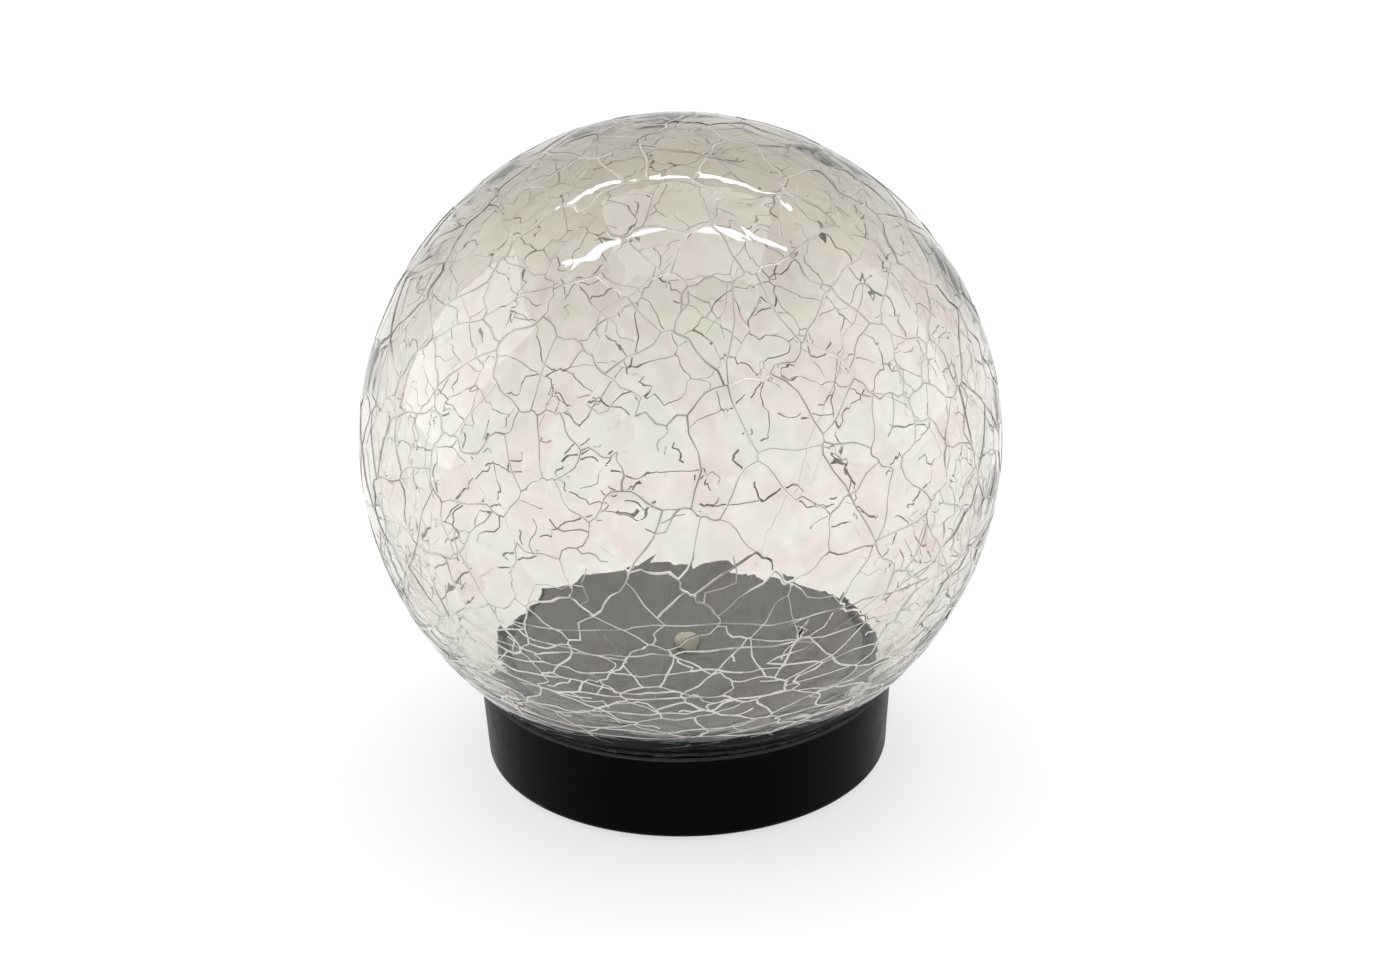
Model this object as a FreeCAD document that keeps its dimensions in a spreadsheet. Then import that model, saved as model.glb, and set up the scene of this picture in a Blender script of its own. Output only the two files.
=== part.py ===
"""Garden globe light: a crackled glass ball on a short round base with a solar panel inside.

Millimetres, +Z up. The origin is on the ground under the middle of the base. The light's front,
the side that is drawn in most views, faces -Y. The battery lies behind the middle, along X.
"""
import FreeCAD, Part
import Sketcher
import itertools
import math
import os
import re

doc = FreeCAD.newDocument("GardenGlobeLight")

# ---------------------------------------------------------------- driving sizes
SIZES = [
    # the glass ball
    ("globe_radius", 60.0, "half the ball's width"),
    ("globe_rise", 61.0, "half the ball's height, a little more than half its width"),
    ("glass_wall", 2.5, "thickness of the blown glass"),
    ("neck_depth", 4.0, "length of the straight neck under the ball"),
    ("neck_sink", 0.3, "how far the neck starts below the lip of the base"),
    ("crack_depth", 0.5, "greatest depth of a main crack"),
    ("crack_gap", 1.0, "how far a main crack stops before the corner it runs to"),
    ("crack_bar", 1.2, "side of the square bar whose edge cuts a main crack"),
    # the silicone ring that the neck stands in
    ("seal_thickness", 0.8, "silicone under the neck"),
    ("seal_skin", 0.4, "silicone on each side of the neck"),
    ("seal_drop", 0.8, "how far the ring's walls stop below the neck's top"),
    ("slide_gap", 0.05, "gap on a radius between pieces that slip together"),
    # the base shell
    ("foot_stand", 0.8, "how far the rubber feet lift the base"),
    ("shell_height", 17.2, "base from its lower edge to its lip"),
    ("bay_clear", 0.6, "gap between the corners of the battery bay and the base shell"),
    ("shell_draft", 1.1, "how much narrower the base is at its lower edge than at its lip"),
    ("lip_wall", 0.8, "thickness of the lip round the glass"),
    ("lip_round", 0.3, "rounding of the lip's outer edge"),
    ("foot_round", 1.4, "rounding of the base's lower edge"),
    ("shell_wall", 2.0, "walls and floors of the base shell"),
    ("deck_rise", 1.0, "height of the deck over the lip"),
    ("deck_step", 1.1, "width of the step round the deck"),
    ("deck_thickness", 2.2, "thickness of the deck that carries the panel"),
    # the bottom cover and what holds it
    ("cover_thickness", 2.8, "thickness of the bottom cover"),
    ("cover_gap", 0.15, "gap round the cover and the battery door"),
    ("gasket_thickness", 0.5, "thickness of the flat gaskets"),
    ("gasket_width", 1.4, "width of the gasket on the cover"),
    ("screw_inset", 6.5, "distance of a cover screw from the cover's edge"),
    ("screw_radius", 1.3, "thread of a cover screw"),
    ("screw_length", 8.0, "length of a cover screw under its head"),
    ("screw_head_radius", 2.5, "head of a cover screw"),
    ("screw_head_height", 1.6, "height of that head"),
    ("boss_radius", 2.9, "post that a cover screw turns into"),
    ("foot_inset", 4.5, "distance of a foot's middle from the cover's edge"),
    ("foot_door_gap", 0.7, "gap between a foot and the edge of the battery door"),
    ("foot_radius", 2.8, "radius of a rubber foot"),
    ("foot_recess", 0.6, "depth that a foot sits in the cover"),
    # the solar panel
    ("panel_overhang", 0.3, "how far the solar panel stands over the deck's edge"),
    ("tape_thickness", 0.2, "adhesive under the panel"),
    ("panel_board_thickness", 0.8, "glass-fibre board of the panel"),
    ("cell_thickness", 0.3, "thickness of the silicon strips"),
    ("cell_width", 9.6, "width of one silicon strip"),
    ("cell_gap", 0.8, "gap between strips"),
    ("cell_edge", 1.6, "bare board round the strips"),
    ("resin_cover", 0.7, "clear resin over the strips"),
    # the lamp
    ("led_radius", 2.5, "radius of the lamp's lens"),
    ("led_flange_radius", 2.9, "radius of the lamp's flange"),
    ("led_flange_height", 1.0, "height of that flange"),
    ("led_stand", 3.4, "how far the lens stands over the panel"),
    ("led_lead_radius", 0.25, "radius of a lamp lead"),
    ("led_lead_pitch", 2.54, "distance between the lamp leads"),
    ("led_hole_gap", 0.15, "gap round the lens in the deck and the panel"),
    # the cell and its bay
    ("cell_body_radius", 5.25, "radius of the rechargeable cell"),
    ("cell_body_length", 44.5, "length of the cell with its positive cap"),
    ("cell_cap_length", 0.9, "length of the positive cap"),
    ("cell_cap_radius", 1.9, "radius of the positive cap"),
    ("battery_y", 12.5, "distance of the cell's axis behind the middle"),
    ("battery_gap", 0.35, "gap between the cell and its bay"),
    ("bay_wall", 1.2, "wall of the battery bay"),
    ("contact_thickness", 0.4, "thickness of the contact plates"),
    ("contact_width", 8.0, "width of the contact plates"),
    ("spring_length", 5.1, "length of the spring when a cell is in"),
    ("spring_radius", 2.6, "radius of the spring, to the middle of its wire"),
    ("spring_wire", 0.25, "radius of the spring's wire"),
    # the battery door
    ("door_thickness", 1.3, "thickness of the battery door"),
    ("door_ledge", 1.0, "ledge that the door closes on"),
    ("ear_radius", 3.0, "radius of the door's screw ears"),
    ("ear_offset", 2.6, "distance of the ear screws from the door's ends"),
    ("door_screw_radius", 1.0, "thread of a door screw"),
    ("door_screw_length", 5.0, "length of a door screw with its head"),
    ("door_screw_head", 1.9, "radius of its sunk head"),
    ("door_screw_sink", 0.9, "depth of that head"),
    ("door_boss_radius", 2.2, "post that a door screw turns into"),
    # the switch
    ("switch_y", 14.0, "distance of the switch in front of the middle"),
    ("switch_length", 9.0, "switch housing along X"),
    ("switch_width", 5.0, "switch housing along Y"),
    ("switch_height", 4.0, "switch housing along Z"),
    ("frame_thickness", 0.5, "sheet of the switch's mounting frame"),
    ("frame_length", 19.5, "length of that frame"),
    ("frame_screw_pitch", 15.0, "distance between its two screws"),
    ("knob_length", 3.0, "slider knob along X"),
    ("knob_width", 2.0, "slider knob along Y"),
    ("knob_recess", 0.5, "how far the knob's tip stays inside the cover"),
    ("knob_travel", 2.0, "travel of the knob from off to on"),
    ("slot_gap", 0.35, "gap round the knob in its slot"),
    ("dish_margin", 2.0, "finger dish round the knob's slot"),
    ("dish_depth", 1.6, "depth of that dish"),
    # the circuit board
    ("board_length", 28.0, "circuit board along X"),
    ("board_width", 25.0, "circuit board along Y"),
    ("board_thickness", 1.2, "thickness of the circuit board"),
    ("board_drop", 4.4, "distance of the board under the deck"),
    ("board_back", 4.5, "distance of the board's back edge behind the middle"),
    ("board_post_radius", 2.0, "post that the board is screwed to"),
    ("board_screw_inset", 3.5, "distance of a board screw from the board's edges"),
    ("small_screw_radius", 1.0, "thread of the board and switch screws"),
    ("small_screw_length", 3.5, "length of those screws under the head"),
    ("small_head_radius", 1.8, "head of those screws"),
    ("small_head_height", 1.2, "height of that head"),
    ("recess_width", 0.7, "width of a cross recess in a screw's head"),
    ("recess_share", 1.3, "length of a cross recess against the head's radius"),
    ("recess_depth", 0.6, "depth of a cross recess"),
    ("chip_length", 5.0, "controller chip along X"),
    ("chip_width", 4.0, "controller chip along Y"),
    ("chip_height", 1.6, "controller chip with its legs"),
    ("chip_leg", 0.6, "width and reach of a leg of the chip"),
    ("coil_radius", 2.5, "radius of the coil's discs"),
    ("coil_height", 3.4, "height of the coil"),
    ("coil_disc", 0.6, "thickness of its discs"),
    ("coil_core", 1.6, "radius of its core"),
    ("winding_radius", 2.3, "radius of its winding"),
    ("lug_length", 2.0, "length of the switch's solder lugs"),
    ("lug_width", 1.2, "width of those lugs"),
    ("lug_thickness", 0.5, "thickness of those lugs"),
    ("lug_pitch", 2.5, "distance between those lugs"),
    ("wire_radius", 0.5, "radius of an insulated wire"),
    ("wire_bend", 1.6, "radius of a bend in a wire"),
    ("panel_wire_pitch", 4.0, "distance between the panel's two wires"),
]
BASE_SCREWS = 4
CELL_STRIPS = 6
SPRING_TURNS = 4
# The glass is crazed into this many main cells. Their middles spiral down the ball by the golden
# turn, in degrees, and sway by small waves so that no two cells are alike.
MAIN_CELLS = 64
GOLDEN_TURN = 137.508
SWAY_TURN = 9.0
SWAY_LIFT = 0.011
# Low down the blown glass was drawn out and the cells are flat: angles from the top in degrees,
# as they are for even cells and as they are on the ball.
EVEN_ANGLES = (0.0, 40.0, 81.0, 104.0, 162.0, 180.0)
REAL_ANGLES = (0.0, 45.0, 92.0, 112.0, 140.3, 180.0)
# Lowest height of a main crack as a share of the ball's rise, how near the seam of the ball's
# surface a crack may come as a share of its radius, and how far its bar goes on past its end.
LOWEST_CRACK = -0.69
SEAM_GAP = 0.015
RUN_OUT = 0.4

sheet = doc.addObject("Spreadsheet::Sheet", "Sizes")
for row, (alias, value, meaning) in enumerate(SIZES, start=1):
    sheet.set(f"A{row}", meaning)
    sheet.set(f"B{row}", str(value))
    sheet.setAlias(f"B{row}", alias)
doc.recompute()
SIZE_NAMES = {alias for alias, value, meaning in SIZES}

# ---------------------------------------------------------------- worked-out places
PLACES = [
    ("shell_bottom", "foot_stand", "lower edge of the base"),
    ("lip_top", "foot_stand + shell_height", "top of the base's lip"),
    ("bay_width", "2 * (cell_body_radius + battery_gap)", "inside of the bay, along Y"),
    ("bay_length", "cell_body_length + spring_length + 2 * contact_thickness",
     "inside of the bay, along X"),
    ("bay_corner", "sqrt((bay_length / 2 + bay_wall) ^ 2 +"
     " (battery_y + bay_width / 2 + bay_wall) ^ 2)", "radius that the bay's corners reach"),
    ("plug_bore", "bay_corner + bay_clear", "inside of the wall under the deck"),
    ("groove_inside", "plug_bore + shell_wall", "inner wall of the groove for the neck"),
    ("neck_bore", "groove_inside + seal_skin + 2 * slide_gap", "inside of the neck"),
    ("neck_radius", "neck_bore + glass_wall", "outside of the neck"),
    ("groove_outside", "neck_radius + seal_skin + 2 * slide_gap", "outer wall of the groove"),
    ("lip_radius", "groove_outside + lip_wall", "outside of the base at its lip"),
    ("neck_top", "lip_top - neck_sink", "height where the ball turns into the neck"),
    ("neck_bottom", "neck_top - neck_depth", "lower edge of the glass"),
    ("groove_floor", "neck_bottom - seal_thickness", "floor of the groove"),
    ("globe_drop", "globe_rise * sqrt(1 - (neck_radius / globe_radius) ^ 2)",
     "distance from the ball's centre down to its neck"),
    ("globe_centre", "neck_top + globe_drop", "height of the ball's centre"),
    ("hollow_radius", "globe_radius - glass_wall", "half the width of the ball's hollow"),
    ("hollow_rise", "globe_rise - glass_wall", "half the height of the ball's hollow"),
    ("hollow_drop", "hollow_rise * sqrt(1 - (neck_bore / hollow_radius) ^ 2)",
     "distance from the ball's centre down to the bore of the neck"),
    ("shell_foot_radius", "lip_radius - shell_draft", "outside of the base at its lower edge"),
    ("cover_socket", "shell_foot_radius - shell_wall", "socket for the cover"),
    ("cover_radius", "cover_socket - cover_gap", "outside of the cover"),
    ("cavity_radius", "cover_radius - gasket_width", "inner wall of the base"),
    ("cover_top", "shell_bottom + cover_thickness", "inner face of the cover"),
    ("ledge", "cover_top + gasket_thickness", "ledge that the cover's gasket presses on"),
    ("screw_circle", "cover_radius - screw_inset", "circle of the cover screws"),
    ("foot_circle", "cover_radius - foot_inset", "circle of the rubber feet"),
    ("foot_y", "battery_y + bay_width / 2 + door_ledge + foot_door_gap + foot_radius",
     "distance of the feet from the middle, along Y"),
    ("foot_x", "sqrt(foot_circle ^ 2 - foot_y ^ 2)",
     "distance of the feet from the middle, along X"),
    ("deck_radius", "groove_inside - deck_step", "outside of the deck"),
    ("deck_top", "lip_top + deck_rise", "top of the deck"),
    ("deck_under", "deck_top - deck_thickness", "underside of the deck"),
    ("shelf", "groove_floor - shell_wall", "underside of the groove"),
    ("panel_radius", "deck_radius + panel_overhang", "radius of the round solar panel"),
    ("panel_bottom", "deck_top + tape_thickness", "underside of the panel's board"),
    ("cells_bottom", "panel_bottom + panel_board_thickness", "underside of the silicon"),
    ("cells_top", "cells_bottom + cell_thickness", "top of the silicon"),
    ("panel_top", "cells_top + resin_cover", "top of the panel"),
    ("led_hole", "led_radius + led_hole_gap", "hole for the lamp in deck and panel"),
    ("door_top", "shell_bottom + door_thickness", "inner face of the battery door"),
    ("door_seat", "door_top + gasket_thickness", "ledge that the door's gasket presses on"),
    ("ear_reach", "bay_length / 2 + door_ledge + ear_offset",
     "distance of the ear screws from the middle, along X"),
    ("battery_z", "door_top + battery_gap + cell_body_radius", "height of the cell's axis"),
    ("bay_roof", "battery_z + cell_body_radius + battery_gap", "underside of the bay's roof"),
    ("bay_top", "bay_roof + bay_wall", "top of the bay"),
    ("lead_height", "(bay_top + deck_under) / 2", "height of the battery wires"),
    ("board_top", "deck_under - board_drop", "top of the circuit board"),
    ("board_bottom", "board_top - board_thickness", "underside of the circuit board"),
    ("board_middle", "board_back - board_width / 2", "the board's middle, along Y"),
    ("board_hole_x", "board_length / 2 - board_screw_inset", "board screws, along X"),
    ("board_hole_y", "board_back - board_width + board_screw_inset", "board screws, along Y"),
    ("parts_x", "board_length / 4", "chip and coil, along X"),
    ("parts_y", "board_back - board_width * 0.3", "chip and coil, along Y"),
    ("dish_top", "shell_bottom + dish_depth", "bottom of the finger dish, seen from below"),
    ("frame_top", "cover_top + frame_thickness", "top of the switch's frame"),
    ("switch_top", "frame_top + switch_height", "top of the switch"),
    ("slot_length", "knob_length + knob_travel + 2 * slot_gap", "knob's slot, along X"),
    ("slot_width", "knob_width + 2 * slot_gap", "knob's slot, along Y"),
    ("knob_tip", "shell_bottom + knob_recess", "lowest point of the knob"),
]
FUNCTIONS = {"sqrt", "sin", "cos", "asin", "min", "max"}
PLACE_NAMES = {name for name, formula, meaning in PLACES}
places = doc.addObject("App::VarSet", "Places")


def spell(formula):
    """The formula with each name led by the object that holds it."""
    def lead(match):
        word = match.group(0)
        if word in FUNCTIONS:
            return word
        if word in SIZE_NAMES:
            return "Sizes." + word
        if word in PLACE_NAMES:
            return "Places." + word
        raise NameError(f"no size or place is called {word}")
    return re.sub(r"[a-z][a-z_]*", lead, str(formula))


for name, formula, meaning in PLACES:
    places.addProperty("App::PropertyFloat", name, "Places", meaning)
for name, formula, meaning in PLACES:
    places.setExpression(name, spell(formula))
doc.recompute()


def value(formula):
    """The number that a formula gives with the sheet as it stands."""
    result = places.evalExpression(spell(formula))
    return float(getattr(result, "Value", result))


# ---------------------------------------------------------------- ways of making pieces
NODES = {}


def node(name, thing):
    """Name a finished sub-part and keep it for the last step."""
    thing.Label = name
    NODES[name] = thing
    return thing


def bind(thing, **formulas):
    """Tie properties of an object to formulas; x, y and z are its place."""
    for key, formula in formulas.items():
        path = f".Placement.Base.{key}" if key in "xyz" else key
        thing.setExpression(path, spell(formula))
    return thing


def foot_places():
    """The x and y formulas of the four feet, clear of the battery door."""
    return [(f"{side} * foot_x", f"{end} * foot_y") for side in (-1, 1) for end in (-1, 1)]


def rod(radius, bottom, top, x=0, y=0):
    """An upright cylinder between two heights."""
    thing = doc.addObject("Part::Cylinder", "Rod")
    return bind(thing, Radius=radius, Height=f"({top}) - ({bottom})", x=x, y=y, z=bottom)


def rod_along_x(radius, start, end, y, z):
    """A cylinder that lies along X."""
    thing = doc.addObject("Part::Cylinder", "LyingRod")
    thing.Placement.Rotation = FreeCAD.Rotation(FreeCAD.Vector(0, 1, 0), 90)
    return bind(thing, Radius=radius, Height=f"({end}) - ({start})", x=start, y=y, z=z)


def cone(low_radius, high_radius, bottom, top, x=0, y=0):
    """An upright cone between two heights."""
    thing = doc.addObject("Part::Cone", "Cone")
    return bind(thing, Radius1=low_radius, Radius2=high_radius,
                Height=f"({top}) - ({bottom})", x=x, y=y, z=bottom)


def block(length, width, bottom, top, x=0, y=0):
    """A box between two heights, with its middle at x and y."""
    thing = doc.addObject("Part::Box", "Block")
    return bind(thing, Length=length, Width=width, Height=f"({top}) - ({bottom})",
                x=f"({x}) - ({length}) / 2", y=f"({y}) - ({width}) / 2", z=bottom)


def fuse(*things):
    """One solid from several that meet."""
    thing = doc.addObject("Part::MultiFuse", "Joined")
    thing.Shapes = list(things)
    thing.Refine = True
    return thing


def cut(base, *tools):
    """The base less the tools."""
    thing = doc.addObject("Part::Cut", "CutOut")
    thing.Base = base
    thing.Tool = tools[0] if len(tools) == 1 else fuse(*tools)
    return thing


def common(first, second):
    """What two solids share."""
    thing = doc.addObject("Part::Common", "Shared")
    thing.Base = first
    thing.Tool = second
    return thing


def group(*things):
    """Separate solids that share one node."""
    thing = doc.addObject("Part::Compound", "Set")
    thing.Links = list(things)
    return thing


def round_the_middle(count, radius):
    """The x and y formulas of places spread evenly on a circle."""
    angles = [360.0 * index / count for index in range(count)]
    return [(f"({radius}) * cos({angle})", f"({radius}) * sin({angle})") for angle in angles]


def turned(name, profile):
    """A body turned round Z from a closed profile of (radius, height) formulas."""
    body = doc.addObject("PartDesign::Body", "Body_" + name)
    upright = next(f for f in body.Origin.OriginFeatures if f.Role == "XZ_Plane")
    sketch = body.newObject("Sketcher::SketchObject", "Profile_" + name)
    sketch.AttachmentSupport = [(upright, "")]
    sketch.MapMode = "FlatFace"
    points = [FreeCAD.Vector(value(r), value(z), 0) for r, z in profile]
    count = len(points)
    for index in range(count):
        sketch.addGeometry(Part.LineSegment(points[index], points[(index + 1) % count]), False)
    for index in range(count):
        sketch.addConstraint(Sketcher.Constraint("Coincident", index, 2, (index + 1) % count, 1))
    for index, (radius, height) in enumerate(profile):
        for kind, formula, number in (("DistanceX", radius, points[index].x),
                                      ("DistanceY", height, points[index].y)):
            if str(formula) == "0":
                axis = -2 if kind == "DistanceX" else -1
                sketch.addConstraint(Sketcher.Constraint("PointOnObject", index, 1, axis))
                continue
            place = sketch.addConstraint(Sketcher.Constraint(kind, -1, 1, index, 1, number))
            sketch.setExpression(f"Constraints[{place}]", spell(formula))
    turn = body.newObject("PartDesign::Revolution", "Turned_" + name)
    turn.Profile = sketch
    turn.ReferenceAxis = (sketch, ["V_Axis"])
    turn.Angle = 360.0
    doc.recompute()
    return body


def rounded(body, radius, *edges):
    """Round the circular edges of a body that lie at the given (radius, height) formulas."""
    wanted = [(value(r), value(z)) for r, z in edges]
    base = body.Tip
    names = []
    for index, edge in enumerate(base.Shape.Edges, start=1):
        if not isinstance(edge.Curve, Part.Circle):
            continue
        middle = edge.Curve.Center
        if any(abs(edge.Curve.Radius - r) < 1e-4 and abs(middle.z - z) < 1e-4 for r, z in wanted):
            names.append(f"Edge{index}")
    fillet = body.newObject("PartDesign::Fillet", "Rounding")
    fillet.Base = (base, names)
    fillet.setExpression("Radius", spell(radius))
    doc.recompute()
    return body


def swept(edges, radius, heading):
    """A round wire of one radius along edges that meet smoothly."""
    path = Part.Wire(edges)
    ring = Part.Wire(Part.makeCircle(radius, edges[0].Vertexes[0].Point, heading))
    thing = doc.addObject("Part::Feature", "Wire")
    thing.Shape = path.makePipeShell([ring], True, False)
    thing.Placement = FreeCAD.Placement()
    return thing


def insulated_wire(points):
    """A wire along straight runs joined by arcs, from lists of three formulas."""
    corners = [FreeCAD.Vector(*[value(part) for part in point]) for point in points]
    bend = value("wire_bend")
    edges = []
    last = corners[0]
    for before, corner, after in zip(corners, corners[1:], corners[2:]):
        into = (corner - before).normalize()
        out = (after - corner).normalize()
        start = corner - into * bend
        end = corner + out * bend
        middle = corner + (out - into) * (bend * (1 - 0.5 ** 0.5))
        edges.append(Part.LineSegment(last, start).toShape())
        edges.append(Part.Arc(start, middle, end).toShape())
        last = end
    edges.append(Part.LineSegment(last, corners[-1]).toShape())
    return swept(edges, value("wire_radius"), corners[1] - corners[0])


# ---------------------------------------------------------------- the glass ball
def cell_middles():
    """Directions from the ball's centre to the middles of the main cells, evenly spread."""
    middles = []
    for index in range(MAIN_CELLS):
        lift = 1 - 2 * (index + 0.5) / MAIN_CELLS + SWAY_LIFT * math.sin(7.3 * index)
        turn = math.radians(index * GOLDEN_TURN + SWAY_TURN * math.sin(3.1 * index))
        level = math.sqrt(max(0.0, 1 - lift ** 2))
        middles.append(FreeCAD.Vector(level * math.cos(turn), level * math.sin(turn), lift))
    return middles


def drawn_out(way):
    """A direction among even cells, moved to where it is on the ball."""
    angle = math.degrees(math.acos(max(-1.0, min(1.0, way.z))))
    for start, end, real, real_end in zip(EVEN_ANGLES, EVEN_ANGLES[1:],
                                          REAL_ANGLES, REAL_ANGLES[1:]):
        if start <= angle <= end:
            break
    angle = math.radians(real + (real_end - real) * (angle - start) / (end - start))
    turn = math.atan2(way.y, way.x)
    level = math.sin(angle)
    return FreeCAD.Vector(level * math.cos(turn), level * math.sin(turn), math.cos(angle))


def crosses_seam(start, end):
    """Whether a line between two directions comes near the seam of the ball's surface, at +X."""
    near = min(start.y, end.y) < SEAM_GAP and max(start.y, end.y) > -SEAM_GAP
    return near and start.x + end.x > 0


def main_cracks():
    """Pairs of corners that a crack joins: three cells meet where a plane through their middles
    has no other middle beyond it, and two such corners that share two cells are joined."""
    middles = cell_middles()
    corners = {}
    for trio in itertools.combinations(range(MAIN_CELLS), 3):
        first, second, third = (middles[index] for index in trio)
        plane = (second - first).cross(third - first)
        if plane.dot(first) < 0:
            plane = plane * -1
        edge = plane.dot(first) + 1e-9
        if all(plane.dot(other) <= edge for other in middles):
            corner = drawn_out(plane.normalize())
            for pair in itertools.combinations(trio, 2):
                corners.setdefault(pair, []).append(corner)
    cracks = [pair for pair in corners.values() if len(pair) == 2]
    cracks = [pair for pair in cracks if min(pair[0].z, pair[1].z) > LOWEST_CRACK]
    return [pair for pair in cracks if not crosses_seam(*pair)]


def crack_bar(start, end):
    """A square bar that lies against the ball with one edge under its skin, as one main crack.

    A straight edge is deepest under the skin at its middle and runs out at both ends.
    """
    radius = value("globe_radius")
    out = (start + end).normalize()
    along = (end - start).normalize()
    half = min((end - start).Length * radius / 2 - value("crack_gap"),
               math.sqrt(2 * radius * value("crack_depth")))
    depth = half ** 2 / (2 * radius)
    half += RUN_OUT
    beside = out.cross(along)
    bar = doc.addObject("Part::Box", "CrackBar")
    bar.Placement.Rotation = FreeCAD.Rotation(along, out + beside, out - beside, "ZXY")
    shares = [f"({reach} - {depth:.4f}) * ({way:.6f}) - {half:.4f} * ({run:.6f})"
              for reach, way, run in zip(("globe_radius", "globe_radius", "globe_rise"),
                                         out, along)]
    return bind(bar, Length=f"{2 * half:.4f}", Width="crack_bar", Height="crack_bar",
                x=shares[0], y=shares[1], z="globe_centre + " + shares[2])


def glass_globe():
    """A blown ball with a straight neck, open below, of even thickness, with its main cracks."""
    def ball(rise, radius, drop):
        thing = doc.addObject("Part::Ellipsoid", "Ball")
        thing.Radius3 = 0
        return bind(thing, Radius1=rise, Radius2=radius,
                    Angle1=f"-asin(({drop}) / ({rise}))", z="globe_centre")
    outside = fuse(ball("globe_rise", "globe_radius", "globe_drop"),
                   rod("neck_radius", "neck_bottom", "neck_top"))
    hollow = fuse(ball("hollow_rise", "hollow_radius", "hollow_drop"),
                  rod("neck_bore", "neck_bottom", "globe_centre - hollow_drop"))
    least = 2 * value("crack_gap") / value("globe_radius")
    bars = [crack_bar(start, end) for start, end in main_cracks()
            if (end - start).Length > 2 * least]
    return cut(cut(outside, hollow), fuse(*bars))


def globe_seal():
    """A silicone ring with a channel that the neck stands in."""
    inside = "groove_inside + slide_gap"
    outside = "groove_outside - slide_gap"
    top = "neck_top - seal_drop"
    return turned("globe_seal", [
        (inside, "groove_floor"),
        (outside, "groove_floor"),
        (outside, top),
        ("neck_radius + slide_gap", top),
        ("neck_radius + slide_gap", "neck_bottom"),
        ("neck_bore - slide_gap", "neck_bottom"),
        ("neck_bore - slide_gap", top),
        (inside, top),
    ])


# ---------------------------------------------------------------- the base
def base_shell():
    """The black cup, upside down, with the groove for the neck and the deck for the panel."""
    body = turned("base_shell", [
        ("shell_foot_radius", "shell_bottom"),
        ("lip_radius", "lip_top"),
        ("groove_outside", "lip_top"),
        ("groove_outside", "groove_floor"),
        ("groove_inside", "groove_floor"),
        ("groove_inside", "neck_top - seal_drop"),
        ("deck_radius", "neck_top - seal_drop"),
        ("deck_radius", "deck_top"),
        ("led_hole", "deck_top"),
        ("led_hole", "deck_under"),
        ("plug_bore", "deck_under"),
        ("plug_bore", "shelf"),
        ("cavity_radius", "shelf"),
        ("cavity_radius", "ledge"),
        ("cover_socket", "ledge"),
        ("cover_socket", "shell_bottom"),
    ])
    rounded(body, "lip_round", ("lip_radius", "lip_top"))
    rounded(body, "foot_round", ("shell_foot_radius", "shell_bottom"))
    bosses = [rod("boss_radius", "cover_top", "deck_under", x, y)
              for x, y in round_the_middle(BASE_SCREWS, "screw_circle")]
    pilots = [rod("screw_radius + slide_gap", "cover_top", "cover_top + screw_length", x, y)
              for x, y in round_the_middle(BASE_SCREWS, "screw_circle")]
    posts = [rod("board_post_radius", "board_top", "deck_under", x, "board_hole_y")
             for x in ("board_hole_x", "-board_hole_x")]
    post_pilots = [rod("small_screw_radius + slide_gap", "board_top",
                       "board_top + small_screw_length - board_thickness + slide_gap",
                       x, "board_hole_y")
                   for x in ("board_hole_x", "-board_hole_x")]
    wire_holes = [rod("wire_radius + slide_gap", "deck_under", "deck_top", x, "board_hole_y")
                  for x in ("panel_wire_pitch / 2", "-panel_wire_pitch / 2")]
    return cut(fuse(body, *bosses, *posts), *pilots, *post_pilots, *wire_holes)


def cover_gasket():
    """A flat ring between the cover and the ledge of the shell."""
    return cut(rod("cover_radius", "cover_top", "ledge"),
               rod("cavity_radius", "cover_top", "ledge"))


def door_outline(grow, bottom, top):
    """The battery door's plan: a long plate with a round ear at each end."""
    plate = block(f"bay_length + 2 * (door_ledge + {grow})",
                  f"bay_width + 2 * (door_ledge + {grow})", bottom, top, 0, "battery_y")
    ears = [rod(f"ear_radius + {grow}", bottom, top, x, "battery_y")
            for x in ("ear_reach", "-ear_reach")]
    return fuse(plate, *ears)


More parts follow.
